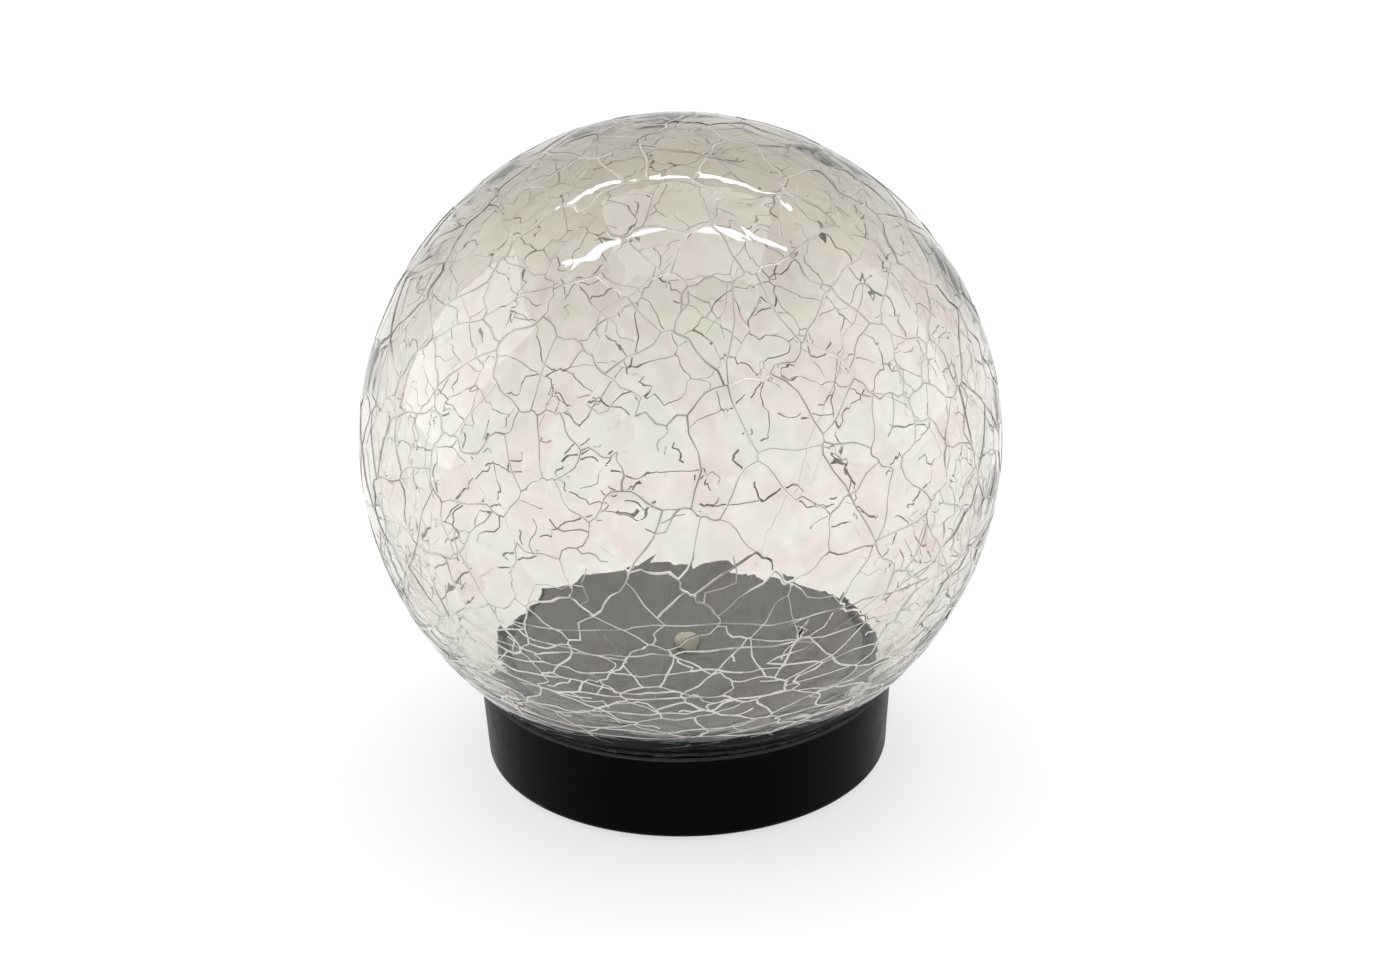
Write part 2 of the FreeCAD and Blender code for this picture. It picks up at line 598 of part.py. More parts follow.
def base_cover():
    """The round plate that closes the base from below, with the battery bay on it."""
    plate = rod("cover_radius", "shell_bottom", "cover_top")
    bay = block("bay_length + 2 * bay_wall", "bay_width + 2 * bay_wall",
                "door_seat", "bay_top", 0, "battery_y")
    door_bosses = [rod("door_boss_radius", "door_seat", "door_top + door_screw_length", x,
                       "battery_y")
                   for x in ("ear_reach", "-ear_reach")]
    tools = [
        block("bay_length", "bay_width", "shell_bottom", "bay_roof", 0, "battery_y"),
        door_outline("cover_gap", "shell_bottom", "door_seat"),
        block("slot_length + 2 * dish_margin", "slot_width + 2 * dish_margin",
              "shell_bottom", "dish_top", 0, "-switch_y"),
        block("slot_length", "slot_width", "shell_bottom", "cover_top", 0, "-switch_y"),
    ]
    for x in ("ear_reach", "-ear_reach"):
        tools.append(rod("door_screw_radius + slide_gap", "door_seat",
                         "shell_bottom + door_screw_length + slide_gap", x, "battery_y"))
    for x, y in round_the_middle(BASE_SCREWS, "screw_circle"):
        tools.append(rod("screw_radius + cover_gap", "shell_bottom", "cover_top", x, y))
        tools.append(rod("screw_head_radius + cover_gap", "shell_bottom",
                         "shell_bottom + screw_head_height", x, y))
    for x, y in foot_places():
        tools.append(rod("foot_radius + slide_gap", "shell_bottom",
                         "shell_bottom + foot_recess", x, y))
    for x in ("frame_screw_pitch / 2", "-frame_screw_pitch / 2"):
        tools.append(rod("small_screw_radius + slide_gap",
                         "frame_top + small_head_height - small_screw_length - slide_gap",
                         "cover_top", x, "-switch_y"))
    for x in ("bay_length / 2 - contact_thickness / 2", "contact_thickness / 2 - bay_length / 2"):
        tools.append(block("contact_thickness + 2 * slide_gap", "contact_width / 4 + 2 * slide_gap",
                           "bay_roof", "bay_top", x, "battery_y"))
    return cut(fuse(plate, bay, *door_bosses), *tools)


def cross_recess(head_radius, bottom, x, y):
    """The cross that a screwdriver turns, in the underside of a head."""
    reach = f"({head_radius}) * recess_share"
    top = f"({bottom}) + recess_depth"
    return [block(reach, "recess_width", bottom, top, x, y),
            block("recess_width", reach, bottom, top, x, y)]


def pan_head_screw(x, y, seat, length, radius, head_radius, head_height):
    """A screw that points up, its head under the seat."""
    low = f"({seat}) - {head_height}"
    whole = fuse(rod(radius, seat, f"({seat}) + {length}", x, y),
                 rod(head_radius, low, seat, x, y))
    return cut(whole, *cross_recess(head_radius, low, x, y))


def cover_screws():
    """The screws that hold the cover, heads sunk in its underside."""
    return group(*[
        pan_head_screw(x, y, "shell_bottom + screw_head_height", "screw_length",
                       "screw_radius", "screw_head_radius", "screw_head_height")
        for x, y in round_the_middle(BASE_SCREWS, "screw_circle")])


def rubber_feet():
    """Round pads in shallow recesses of the cover."""
    return group(*[rod("foot_radius", 0, "shell_bottom + foot_recess", x, y)
                   for x, y in foot_places()])


# ---------------------------------------------------------------- the solar panel and the lamp
def lamp_hole(bottom, top):
    """The hole that the lamp's lens stands in."""
    return rod("led_hole", bottom, top)


def panel_tape():
    """The adhesive sheet under the panel, with holes for lamp and wires."""
    holes = [rod("wire_radius + slide_gap", "deck_top", "panel_bottom", x, "board_hole_y")
             for x in ("panel_wire_pitch / 2", "-panel_wire_pitch / 2")]
    return cut(rod("deck_radius", "deck_top", "panel_bottom"),
               lamp_hole("deck_top", "panel_bottom"), *holes)


def panel_board():
    """The round glass-fibre board that carries the silicon."""
    return cut(rod("panel_radius", "panel_bottom", "cells_bottom"),
               lamp_hole("panel_bottom", "cells_bottom"))


def silicon_strips():
    """Strips side by side, cut to the panel's round outline."""
    pitch = "(cell_width + cell_gap)"
    strips = []
    for index in range(CELL_STRIPS):
        offset = index - (CELL_STRIPS - 1) / 2
        disc = cut(rod("panel_radius - cell_edge", "cells_bottom", "cells_top"),
                   rod("led_hole + cell_gap", "cells_bottom", "cells_top"))
        bar = block("cell_width", "2 * panel_radius", "cells_bottom", "cells_top",
                    f"{offset} * {pitch}")
        strips.append(common(disc, bar))
    return strips


def panel_resin(strips):
    """The clear resin poured over the strips, level on top."""
    return cut(rod("panel_radius", "cells_bottom", "panel_top"),
               lamp_hole("cells_bottom", "panel_top"), *strips)


def led_lamp():
    """A round lamp with a domed lens that looks up through the panel."""
    dome_base = "panel_top + led_stand - led_radius"
    dome = doc.addObject("Part::Sphere", "Dome")
    dome.Angle1 = 0
    bind(dome, Radius="led_radius", z=dome_base)
    return fuse(rod("led_flange_radius", "deck_under - led_flange_height", "deck_under"),
                rod("led_radius", "deck_under", dome_base), dome)


def led_leads():
    """The lamp's two leads, down through the circuit board."""
    return group(*[rod("led_lead_radius", "board_bottom - led_lead_radius",
                       "deck_under - led_flange_height", x)
                   for x in ("led_lead_pitch / 2", "-led_lead_pitch / 2")])


# ---------------------------------------------------------------- the electronics
def circuit_board():
    """The board under the deck, with holes for leads, wires and screws."""
    plate = block("board_length", "board_width", "board_bottom", "board_top", 0, "board_middle")
    tools = [rod("led_lead_radius + slide_gap", "board_bottom", "board_top", x)
             for x in ("led_lead_pitch / 2", "-led_lead_pitch / 2")]
    tools += [rod("small_screw_radius + slide_gap", "board_bottom", "board_top", x,
                  "board_hole_y")
              for x in ("board_hole_x", "-board_hole_x")]
    return cut(plate, *tools)


def board_screws():
    """Two screws that hold the board to the posts of the deck."""
    return group(*[
        pan_head_screw(x, "board_hole_y", "board_bottom", "small_screw_length",
                       "small_screw_radius", "small_head_radius", "small_head_height")
        for x in ("board_hole_x", "-board_hole_x")])


def controller_chip():
    """The charge and dusk controller, under the board, with its four legs."""
    case = block("chip_length", "chip_width", "board_bottom - chip_height",
                 "board_bottom - chip_height / 8", "parts_x", "parts_y")
    legs = [block("chip_leg", "chip_leg", "board_bottom - chip_height / 2", "board_bottom",
                  f"parts_x + {step} * chip_length / 3",
                  f"parts_y + {side} * (chip_width + chip_leg) / 2")
            for step in (-1, 1) for side in (-1, 1)]
    return fuse(case, *legs)


def inductor_core():
    """The drum that the step-up converter's coil is wound on."""
    low = "board_bottom - coil_height"
    core = rod("coil_core", low, "board_bottom", "-parts_x", "parts_y")
    lower = rod("coil_radius", low, f"{low} + coil_disc", "-parts_x", "parts_y")
    upper = rod("coil_radius", "board_bottom - coil_disc", "board_bottom", "-parts_x", "parts_y")
    return fuse(core, lower, upper)


def inductor_winding():
    """The copper winding between the drum's two discs."""
    low = "board_bottom - coil_height + coil_disc"
    high = "board_bottom - coil_disc"
    return cut(rod("winding_radius", low, high, "-parts_x", "parts_y"),
               rod("coil_core", low, high, "-parts_x", "parts_y"))


def panel_wires():
    """Two short wires from the panel's board to the circuit board."""
    return group(*[rod("wire_radius", "board_top", "panel_bottom", x, "board_hole_y")
                   for x in ("panel_wire_pitch / 2", "-panel_wire_pitch / 2")])


def battery_wire(side):
    """A wire from a contact's tab over the bay and down to the circuit board."""
    tab = f"{side} * (bay_length / 2 - contact_thickness)"
    turn_x = f"{side} * (board_length / 2 - board_screw_inset)"
    end_y = "board_back - 2 * wire_radius"
    return insulated_wire([
        (tab, "battery_y", "lead_height"),
        (turn_x, "battery_y", "lead_height"),
        (turn_x, end_y, "lead_height"),
        (turn_x, end_y, "board_top"),
    ])


# ---------------------------------------------------------------- the cell and its contacts
def battery_cell():
    """A small rechargeable cell that lies along X, its cap to +X."""
    cap_end = "bay_length / 2 - contact_thickness"
    can_end = f"{cap_end} - cell_cap_length"
    can_start = f"{cap_end} - cell_body_length"
    return fuse(rod_along_x("cell_body_radius", can_start, can_end, "battery_y", "battery_z"),
                rod_along_x("cell_cap_radius", can_end, cap_end, "battery_y", "battery_z"))


def contact_plate(side):
    """A plate against the end wall of the bay, with a tab up through its roof."""
    middle = f"{side} * (bay_length / 2 - contact_thickness / 2)"
    plate = block("contact_thickness", "contact_width", "battery_z - contact_width / 2",
                  "battery_z + contact_width / 2", middle, "battery_y")
    tab = block("contact_thickness", "contact_width / 4", "battery_z",
                "lead_height + wire_radius", middle, "battery_y")
    return fuse(plate, tab)


def contact_spring():
    """The coil spring on the negative plate: flat half turns joined by half turns that climb."""
    radius = value("spring_radius")
    inset = value("spring_wire + slide_gap")
    start = value("contact_thickness - bay_length / 2") + inset
    pitch = (value("spring_length") - 2 * inset) / SPRING_TURNS
    axis_y = value("battery_y")
    axis_z = value("battery_z")
    low = axis_z - radius
    high = axis_z + radius
    climbing_radius = (radius ** 2 + (pitch / 2) ** 2) ** 0.5

    def half_turn(x, z, side_x, side_y, end_x, end_z):
        return Part.Arc(FreeCAD.Vector(x, axis_y, z), FreeCAD.Vector(side_x, side_y, axis_z),
                        FreeCAD.Vector(end_x, axis_y, end_z)).toShape()

    edges = []
    for turn in range(SPRING_TURNS):
        x = start + turn * pitch
        edges.append(half_turn(x, low, x, axis_y + radius, x, high))
        edges.append(half_turn(x, high, x + pitch / 2, axis_y - climbing_radius, x + pitch, low))
    end = start + SPRING_TURNS * pitch
    edges.append(half_turn(end, low, end, axis_y + radius, end, high))
    return swept(edges, value("spring_wire"), FreeCAD.Vector(0, 1, 0))


# ---------------------------------------------------------------- the battery door
def battery_door():
    """The plate that closes the bay, with its two sunk screw holes."""
    plate = door_outline("0", "shell_bottom", "door_top")
    tools = []
    for x in ("ear_reach", "-ear_reach"):
        tools.append(rod("door_screw_radius + slide_gap", "shell_bottom", "door_top", x,
                         "battery_y"))
        tools.append(cone("door_screw_head + slide_gap", "door_screw_radius + slide_gap",
                          "shell_bottom", "shell_bottom + door_screw_sink", x, "battery_y"))
    return cut(plate, *tools)


def door_gasket():
    """A flat frame on the door that seals the bay's mouth."""
    outer = block("bay_length + 2 * door_ledge", "bay_width + 2 * door_ledge",
                  "door_top", "door_seat", 0, "battery_y")
    inner = block("bay_length", "bay_width", "door_top", "door_seat", 0, "battery_y")
    return cut(outer, inner)


def door_screws():
    """Two sunk screws that hold the door."""
    screws = []
    for x in ("ear_reach", "-ear_reach"):
        head = cone("door_screw_head", "door_screw_radius", "shell_bottom",
                    "shell_bottom + door_screw_sink", x, "battery_y")
        thread = rod("door_screw_radius", "shell_bottom + door_screw_sink",
                     "shell_bottom + door_screw_length", x, "battery_y")
        screws.append(cut(fuse(head, thread),
                          *cross_recess("door_screw_head", "shell_bottom", x, "battery_y")))
    return group(*screws)


# ---------------------------------------------------------------- the switch
def switch_frame():
    """The sheet-metal frame that holds the switch on the cover."""
    plate = block("frame_length", "switch_width + 2 * frame_thickness", "cover_top", "frame_top",
                  0, "-switch_y")
    cheeks = [block("switch_length", "frame_thickness", "cover_top", "switch_top", 0,
                    f"-switch_y + {side} * (switch_width + frame_thickness) / 2")
              for side in (-1, 1)]
    tools = [block("slot_length", "slot_width", "cover_top", "frame_top", 0, "-switch_y")]
    tools += [rod("small_screw_radius + slide_gap", "cover_top", "frame_top", x, "-switch_y")
              for x in ("frame_screw_pitch / 2", "-frame_screw_pitch / 2")]
    return cut(fuse(plate, *cheeks), *tools)


def switch_screws():
    """Two screws that point down and hold the frame, their heads inside the base."""
    screws = []
    head_top = "frame_top + small_head_height"
    for x in ("frame_screw_pitch / 2", "-frame_screw_pitch / 2"):
        head = rod("small_head_radius", "frame_top", head_top, x, "-switch_y")
        thread = rod("small_screw_radius", f"{head_top} - small_screw_length", "frame_top", x,
                     "-switch_y")
        recess = cross_recess("small_head_radius", f"{head_top} - recess_depth", x, "-switch_y")
        screws.append(cut(fuse(head, thread), *recess))
    return group(*screws)


def switch_body():
    """The switch's housing, hollow where the slider runs."""
    outer = block("switch_length", "switch_width", "frame_top", "switch_top", 0, "-switch_y")
    run = block("slot_length", "slot_width", "frame_top", "frame_top + switch_height / 2",
                0, "-switch_y")
    return cut(outer, run)


def switch_terminals():
    """The three solder lugs on the back of the switch."""
    return group(*[block("lug_width", "lug_thickness", "switch_top", "switch_top + lug_length",
                         f"{step} * lug_pitch", "-switch_y")
                   for step in (-1, 0, 1)])


def switch_knob():
    """The slider, from the housing out to the dish in the cover, with a ribbed tip."""
    middle = "-knob_travel / 2"
    stem = block("knob_length", "knob_width", "knob_tip",
                 "frame_top + switch_height / 2 - slide_gap", middle, "-switch_y")
    grooves = [block("knob_length / 10", "knob_width", "knob_tip", "knob_tip + knob_length / 10",
                     f"{middle} + {step} * knob_length / 4", "-switch_y")
               for step in (-1, 0, 1)]
    return cut(stem, *grooves)


# ---------------------------------------------------------------- the whole light
def build():
    """Make every sub-part and give it its name."""
    node("glass_globe", glass_globe())
    node("globe_seal", globe_seal())
    node("base_shell", base_shell())
    node("panel_tape", panel_tape())
    node("panel_board", panel_board())
    node("solar_cells", group(*silicon_strips()))
    node("panel_resin", panel_resin(silicon_strips()))
    node("led_lamp", led_lamp())
    node("led_leads", led_leads())
    node("circuit_board", circuit_board())
    node("board_screws", board_screws())
    node("controller_chip", controller_chip())
    node("inductor_core", inductor_core())
    node("inductor_winding", inductor_winding())
    node("panel_wires", panel_wires())
    node("battery_wire_positive", battery_wire(1))
    node("battery_wire_negative", battery_wire(-1))
    node("battery_cell", battery_cell())
    node("positive_contact", contact_plate(1))
    node("negative_contact", contact_plate(-1))
    node("contact_spring", contact_spring())
    node("base_cover", base_cover())
    node("cover_gasket", cover_gasket())
    node("cover_screws", cover_screws())
    node("rubber_feet", rubber_feet())
    node("battery_door", battery_door())
    node("door_gasket", door_gasket())
    node("door_screws", door_screws())
    node("switch_frame", switch_frame())
    node("switch_screws", switch_screws())
    node("switch_body", switch_body())
    node("switch_terminals", switch_terminals())
    node("switch_knob", switch_knob())
    doc.recompute()


def check():
    """Stop if any object failed or any sub-part is not a sound solid."""
    for thing in doc.Objects:
        if "Invalid" in thing.State or "Error" in thing.State:
            raise RuntimeError(f"{thing.Label} failed: {thing.State}")
    for name, thing in NODES.items():
        shape = thing.Shape
        if shape.isNull() or not shape.isValid() or not shape.Solids:
            raise RuntimeError(f"{name} is not a sound solid")
        print(f"{name}: {len(shape.Solids)} solid(s), {shape.Volume:.1f} mm3")


def export():
    """Write each sub-part to its own file."""
    os.makedirs("parts", exist_ok=True)
    for name, thing in NODES.items():
        thing.Shape.exportStep(f"parts/{name}.step")


build()
check()
export()
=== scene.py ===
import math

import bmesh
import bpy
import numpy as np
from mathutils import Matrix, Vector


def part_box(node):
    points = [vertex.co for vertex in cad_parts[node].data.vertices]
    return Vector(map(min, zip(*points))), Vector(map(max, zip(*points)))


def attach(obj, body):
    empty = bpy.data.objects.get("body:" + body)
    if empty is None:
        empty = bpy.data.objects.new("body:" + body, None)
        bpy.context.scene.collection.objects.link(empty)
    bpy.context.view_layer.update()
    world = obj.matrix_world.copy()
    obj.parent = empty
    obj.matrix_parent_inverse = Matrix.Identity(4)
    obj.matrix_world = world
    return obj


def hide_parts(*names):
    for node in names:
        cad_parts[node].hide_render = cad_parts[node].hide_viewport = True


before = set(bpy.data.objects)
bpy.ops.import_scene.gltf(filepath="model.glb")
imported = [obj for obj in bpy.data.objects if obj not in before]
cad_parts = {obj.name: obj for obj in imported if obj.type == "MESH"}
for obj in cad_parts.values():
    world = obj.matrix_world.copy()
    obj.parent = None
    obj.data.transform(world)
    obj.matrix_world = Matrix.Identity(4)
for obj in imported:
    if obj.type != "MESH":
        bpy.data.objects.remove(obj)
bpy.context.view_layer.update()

# %% [markdown]
# # A crackled glass garden light
# The light is a clear glass ball full of fine cracks on a short black base. A round solar panel
# and a small lamp lie inside the ball. The frame that is loaded above holds every solid part at
# its real size, in metres. This lesson dresses them: it sets the camera and the light first,
# then makes the cracked glass, which is where most of the work lies, and ends with the finishes
# of the plastic, metal, rubber and silicon parts.

MM = 0.001
SEED = 17
scene = bpy.context.scene
random = np.random.default_rng(SEED)


def extent(node):
    """Lowest and highest corner of a solid, as two arrays."""
    low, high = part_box(node)
    return np.array(low), np.array(high)


glass_low, glass_high = extent("glass_globe")
print("the glass reaches from", glass_low.round(4), "to", glass_high.round(4))

# %% [markdown]
# # The camera
# The photograph looks down at the ball from the front, a little above it. The focal length and
# the distance come from how much wider the ball looks than the base. The camera first looks at
# the middle of the ball, and is then rolled and turned by the small angles that put the ball
# where it is in the picture. A matrix holds the three directions of the camera and its place.

# %% Turning and placing
BALL_CENTRE = np.array([0.0, 0.0, 64.65]) * MM


def turned(first, second, angle):
    """Two directions turned in their plane: a cos t - b sin t and a sin t + b cos t."""
    c, s = math.cos(angle), math.sin(angle)
    return c * first - s * second, s * first + c * second


def stand(holder, right, up, out, place):
    """Places an object by its matrix, whose columns are right, up, out and the place itself."""
    pose = np.eye(4)
    pose[:3, 0], pose[:3, 1], pose[:3, 2], pose[:3, 3] = right, up, out, place
    holder.matrix_world = Matrix(pose.tolist())


print("the middle of the ball is", BALL_CENTRE)

# %% Where the camera stands
DISTANCE = 599 * MM
LOOKS_DOWN, ROLL, PAN, TILT = np.radians([23.6, 1.34, 0.345, -0.745])

back = np.array([0.0, -math.cos(LOOKS_DOWN), math.sin(LOOKS_DOWN)])
right = np.array([1.0, 0.0, 0.0])
up = np.cross(back, right)
ahead = -back
place = BALL_CENTRE + DISTANCE * back
right, up = turned(right, up, ROLL)
right, ahead = turned(right, ahead, PAN)
up, ahead = turned(up, ahead, TILT)
print("the camera looks along", ahead.round(3))

# %% Camera
PICTURE_WIDTH = 1400
FOCAL_PIXELS = 3200
SENSOR = 36.0
NEAREST_SEEN = 0.01
camera_data = bpy.data.cameras.new("photo_camera")
camera_data.sensor_width = SENSOR
camera_data.lens = FOCAL_PIXELS * SENSOR / PICTURE_WIDTH
camera_data.clip_start = NEAREST_SEEN
camera = bpy.data.objects.new("photo_camera", camera_data)
scene.collection.objects.link(camera)
stand(camera, right, up, -ahead, place)
scene.camera = camera
scene.view_settings.view_transform = "Standard"
print("camera at", place.round(4), "with a lens of", round(camera_data.lens, 2), "mm")

# %% [markdown]
# # Small helpers for shader nodes
# A material is a small graph of nodes. It could be wired by hand in the editor, but written as
# code it can be read and repeated. One helper adds a node and fills its inputs, either with a
# number or with a wire from another node, one starts a material, and the rest name the patterns
# that are used again and again. Every pattern is taken from object coordinates, which are metres
# on the part itself, so it keeps its real size and stays put when the part moves.

# %% Adding nodes


def add(tree, kind, inputs=None, **settings):
    """Adds one node. An input that is a socket is wired, and any other is a plain value."""
    node = tree.nodes.new("ShaderNode" + kind)
    for name, value in settings.items():
        setattr(node, name, value)
    for name, value in (inputs or {}).items():
        if isinstance(value, bpy.types.NodeSocket):
            tree.links.new(value, node.inputs[name])
        else:
            node.inputs[name].default_value = value
    return node


def wire(tree, value, shader, name):
    """Joins a socket to one of a node's inputs, by its name or its number."""
    tree.links.new(value, shader.inputs[name])


print("nodes can be added and wired")

# %% Starting a finish


def new_finish(name, **plain):
    """A material with its Principled shader; plain gives the shader's own inputs, _ for a space."""
    material = bpy.data.materials.new(name)
    material.use_nodes = True
    tree = material.node_tree
    shader = tree.nodes["Principled BSDF"]
    for key, value in plain.items():
        shader.inputs[key.replace("_", " ")].default_value = value
    return material, tree, shader


def colour(red, green=None, blue=None):
    """A colour with full alpha. One number gives a grey."""
    return (red, red if green is None else green, red if blue is None else blue, 1.0)


print("a mid grey is", colour(0.5))

# %% [markdown]
# ## Patterns from place
# A pattern starts as a number that is read off the place on the part: a height, or cloudy noise
# with so many ripples to the metre. Such a number is then brought into the range that an input
# needs, or turned into a colour.

# %% Numbers from place


def object_spot(tree):
    """The place on the part, in metres."""
    return add(tree, "TexCoord").outputs["Object"]


def along_axis(tree, axis):
    """How far a place on the part lies along X, Y or Z, in metres."""
    return add(tree, "SeparateXYZ", {"Vector": object_spot(tree)}).outputs[axis]


def reckon(tree, operation, *values):
    """One step of arithmetic, such as MULTIPLY or MAXIMUM, on numbers or sockets."""
    return add(tree, "Math", dict(enumerate(values)), operation=operation).outputs[0]


def spread(tree, value, low, high, start=0.0, end=1.0):
    """low + (high - low) * (value - start) / (end - start), held between low and high."""
    inputs = {"Value": value, "From Min": start, "From Max": end, "To Min": low, "To Max": high}
    return add(tree, "MapRange", inputs).outputs["Result"]


def noise(tree, scale, detail=2.0, stretch=(1, 1, 1), roughness=0.5):
    """Cloudy noise from 0 to 1, with scale ripples to the metre, stretched along the axes."""
    inputs = {"Vector": object_spot(tree), "Scale": stretch}
    spot = add(tree, "Mapping", inputs).outputs["Vector"]
    inputs = {"Vector": spot, "Scale": scale, "Detail": detail, "Roughness": roughness}
    return add(tree, "TexNoise", inputs).outputs["Fac"]


print("clouds and distances can be read off a part")

# %% Colours from numbers
MIX_FACTOR, MIX_FIRST, MIX_SECOND, MIXED_COLOUR = 0, 6, 7, 2
MOST_NOISE, ALL_NOISE = (0.35, 0.65), (0.3, 0.7)


def ramp(tree, value, *stops):
    """A colour that runs through the stops, each a place from 0 to 1 and a colour."""
    node = add(tree, "ValToRGB", {"Fac": value})
    while len(node.color_ramp.elements) < len(stops):
        node.color_ramp.elements.new(0.5)
    for element, (place, shade) in zip(node.color_ramp.elements, stops):
        element.position, element.color = place, shade
    return node.outputs["Color"]


def between(tree, value, dark, pale, span=MOST_NOISE):
    """Runs from the dark colour to the pale one while the value goes over its span."""
    return ramp(tree, value, (span[0], dark), (span[1], pale))


def mix(tree, factor, first, second):
    """first where the factor is 0 and second where it is 1."""
    inputs = {MIX_FACTOR: factor, MIX_FIRST: first, MIX_SECOND: second}
    return add(tree, "Mix", inputs, data_type="RGBA").outputs[MIXED_COLOUR]


print("noise lies mostly between", MOST_NOISE, "and hardly ever outside", ALL_NOISE)

# %% Shaders and bumps


def either(tree, factor, first, second):
    """The first shader where the factor is 0 and the second where it is 1."""
    node = add(tree, "MixShader", {"Fac": factor, 1: first, 2: second})
    return node.outputs[0]


def bumpy(tree, shader, height, depth):
    """Makes the surface look raised by height times depth, in metres."""
    inputs = {"Height": height, "Distance": depth, "Strength": 1.0}
    wire(tree, add(tree, "Bump", inputs).outputs["Normal"], shader, "Normal")


print("node helpers are ready")

# %% [markdown]
# # Studio
# The light stands on a plain pale floor in a soft even light. Glass shows what is behind it, so
# the room has to be pale all round, while black plastic shows what is in front of it, which is
# the dimmer side of the room. So the sky is white to the camera and through the glass, an even
# grey as a source of light, and in reflections it falls off gently towards the front. The sky is
# fixed in space: it doesn't turn with the camera.

# %% Sky
SKY_LIGHT = 0.76
SKY_STOPS = ((0.0, 0.06), (0.45, 0.45), (1.0, 0.86))
SKY_FRONT, SKY_BACK = -0.75, 0.35
world = bpy.data.worlds.new("studio_sky")
scene.world = world
world.use_nodes = True
sky = world.node_tree
sky.nodes.clear()
way = add(sky, "SeparateXYZ", {"Vector": add(sky, "TexCoord").outputs["Generated"]})
towards_back = spread(sky, way.outputs["Y"], 0.0, 1.0, SKY_FRONT, SKY_BACK)
shade = ramp(sky, towards_back, *((place, colour(grey)) for place, grey in SKY_STOPS))
mirrored, plain, white = (
    add(sky, "Background", {"Color": grey, "Strength": 1.0}).outputs[0]
    for grey in (shade, colour(SKY_LIGHT), colour(1.0))
)
ray = add(sky, "LightPath").outputs
seen = reckon(sky, "MAXIMUM", ray["Is Camera Ray"], ray["Is Transmission Ray"])
unseen = either(sky, ray["Is Glossy Ray"], plain, mirrored)
mixed = either(sky, seen, unseen, white)
wire(sky, mixed, add(sky, "OutputWorld"), "Surface")
print("sky: white to the eye, dimmer in front")

# %% [markdown]
# ## The floor
# To the camera, through the glass and in reflections the floor glows nearly white, and still
# takes the shadow of the light. To the light that bounces about it is a plain matt grey, so that
# its glow doesn't light the object from below. It can be seen through from its underside, so
# that the bottom of the light can be looked at.

# %% Floor
FLOOR_HALF = 4.0
FLOOR_LIT, FLOOR_MATT, FLOOR_GLOW = 0.33, 0.8, 0.66
floor_mesh = bpy.data.meshes.new("floor")
corners = [(x * FLOOR_HALF, y * FLOOR_HALF, 0.0) for x, y in ((-1, -1), (1, -1), (1, 1), (-1, 1))]
floor_mesh.from_pydata(corners, [], [(0, 1, 2, 3)])
floor = bpy.data.objects.new("floor", floor_mesh)
scene.collection.objects.link(floor)
material, tree, shader = new_finish("pale_floor", Roughness=0.9, Specular_IOR_Level=0.1)
shader.inputs["Base Color"].default_value = colour(FLOOR_LIT)
matt = add(tree, "BsdfDiffuse", {"Color": colour(FLOOR_MATT)}).outputs[0]
glow = add(tree, "Emission", {"Color": colour(1.0), "Strength": FLOOR_GLOW}).outputs[0]
lifted = add(tree, "AddShader", {0: shader.outputs[0], 1: glow}).outputs[0]
ray = add(tree, "LightPath").outputs
seen = reckon(tree, "MAXIMUM", ray["Is Camera Ray"], ray["Is Transmission Ray"])
seen = reckon(tree, "MAXIMUM", seen, ray["Is Glossy Ray"])
above = either(tree, seen, matt, lifted)
backfacing = add(tree, "NewGeometry").outputs["Backfacing"]
whole = either(tree, backfacing, above, add(tree, "BsdfTransparent").outputs[0])
wire(tree, whole, tree.nodes["Material Output"], "Surface")
floor.data.materials.append(material)
print("floor", 2 * FLOOR_HALF, "m across")

# %% [markdown]
# # Lamps
# Two tall soft boxes stand at the sides and draw the pale edges down the black base, and a
# square one above gives the even light. Two long narrow ones hang above and a little behind, and
# each cell of the glass throws back its own small piece of them: they make the broken arcs of
# sparkle near the top of the ball. The lamps themselves show neither directly nor through the
# glass, as a photographer would keep them out of the picture.

# %% Table of lamps
LAMPS = {
    # name: place, width and height in metres, and watts
    "left_box": ((-0.75, 0.1, 0.35), 0.5, 0.7, 2.2),
    "right_box": ((0.75, 0.05, 0.35), 0.5, 0.7, 1.2),
    "top_box": ((0.05, 0.1, 0.95), 0.7, 0.7, 2.6),
    "strip_above": ((0.0, 0.03, 0.62), 0.66, 0.02, 0.6),
    "strip_behind": ((0.0, 0.31, 0.58), 0.66, 0.02, 0.6),
}
print("lamps:", ", ".join(LAMPS))

# %% Lamps
AIM = (0.0, 0.0, 0.05)
NEARLY_UPRIGHT = 0.9


def soft_box(name, place, width, height, watts):
    """A rectangular lamp at place that faces the aim."""
    lamp = bpy.data.lights.new(name, "AREA")
    lamp.shape, lamp.size, lamp.size_y, lamp.energy = "RECTANGLE", width, height, watts
    holder = bpy.data.objects.new(name, lamp)
    scene.collection.objects.link(holder)
    out = np.array(place, float) - np.array(AIM, float)
    out /= np.linalg.norm(out)
    upright = (0.0, 1.0, 0.0) if abs(out[2]) > NEARLY_UPRIGHT else (0.0, 0.0, 1.0)
    side = np.cross(upright, out)
    side /= np.linalg.norm(side)
    stand(holder, side, np.cross(out, side), out, place)
    holder.visible_camera = holder.visible_transmission = False


for name, values in LAMPS.items():
    soft_box(name, *values)
print(len(LAMPS), "lamps face", AIM)

# %% [markdown]
# # The net of cracks
# Hot glass that is dipped in water crazes into cells, like dried mud. A picture of cracks could
# be wrapped round the ball, but it would have no depth and would bend nothing. Such cells are
# drawn well by the areas that lie nearest to each of some hundreds of points, strewn over the
# ball. The hull of points on a ball joins each to its neighbours by triangles. The middle of
# each triangle is a corner where three cells meet, and each side of a triangle is crossed by one
# crack. The solid ball has a coarse net of main cracks, and the same middles are used here.

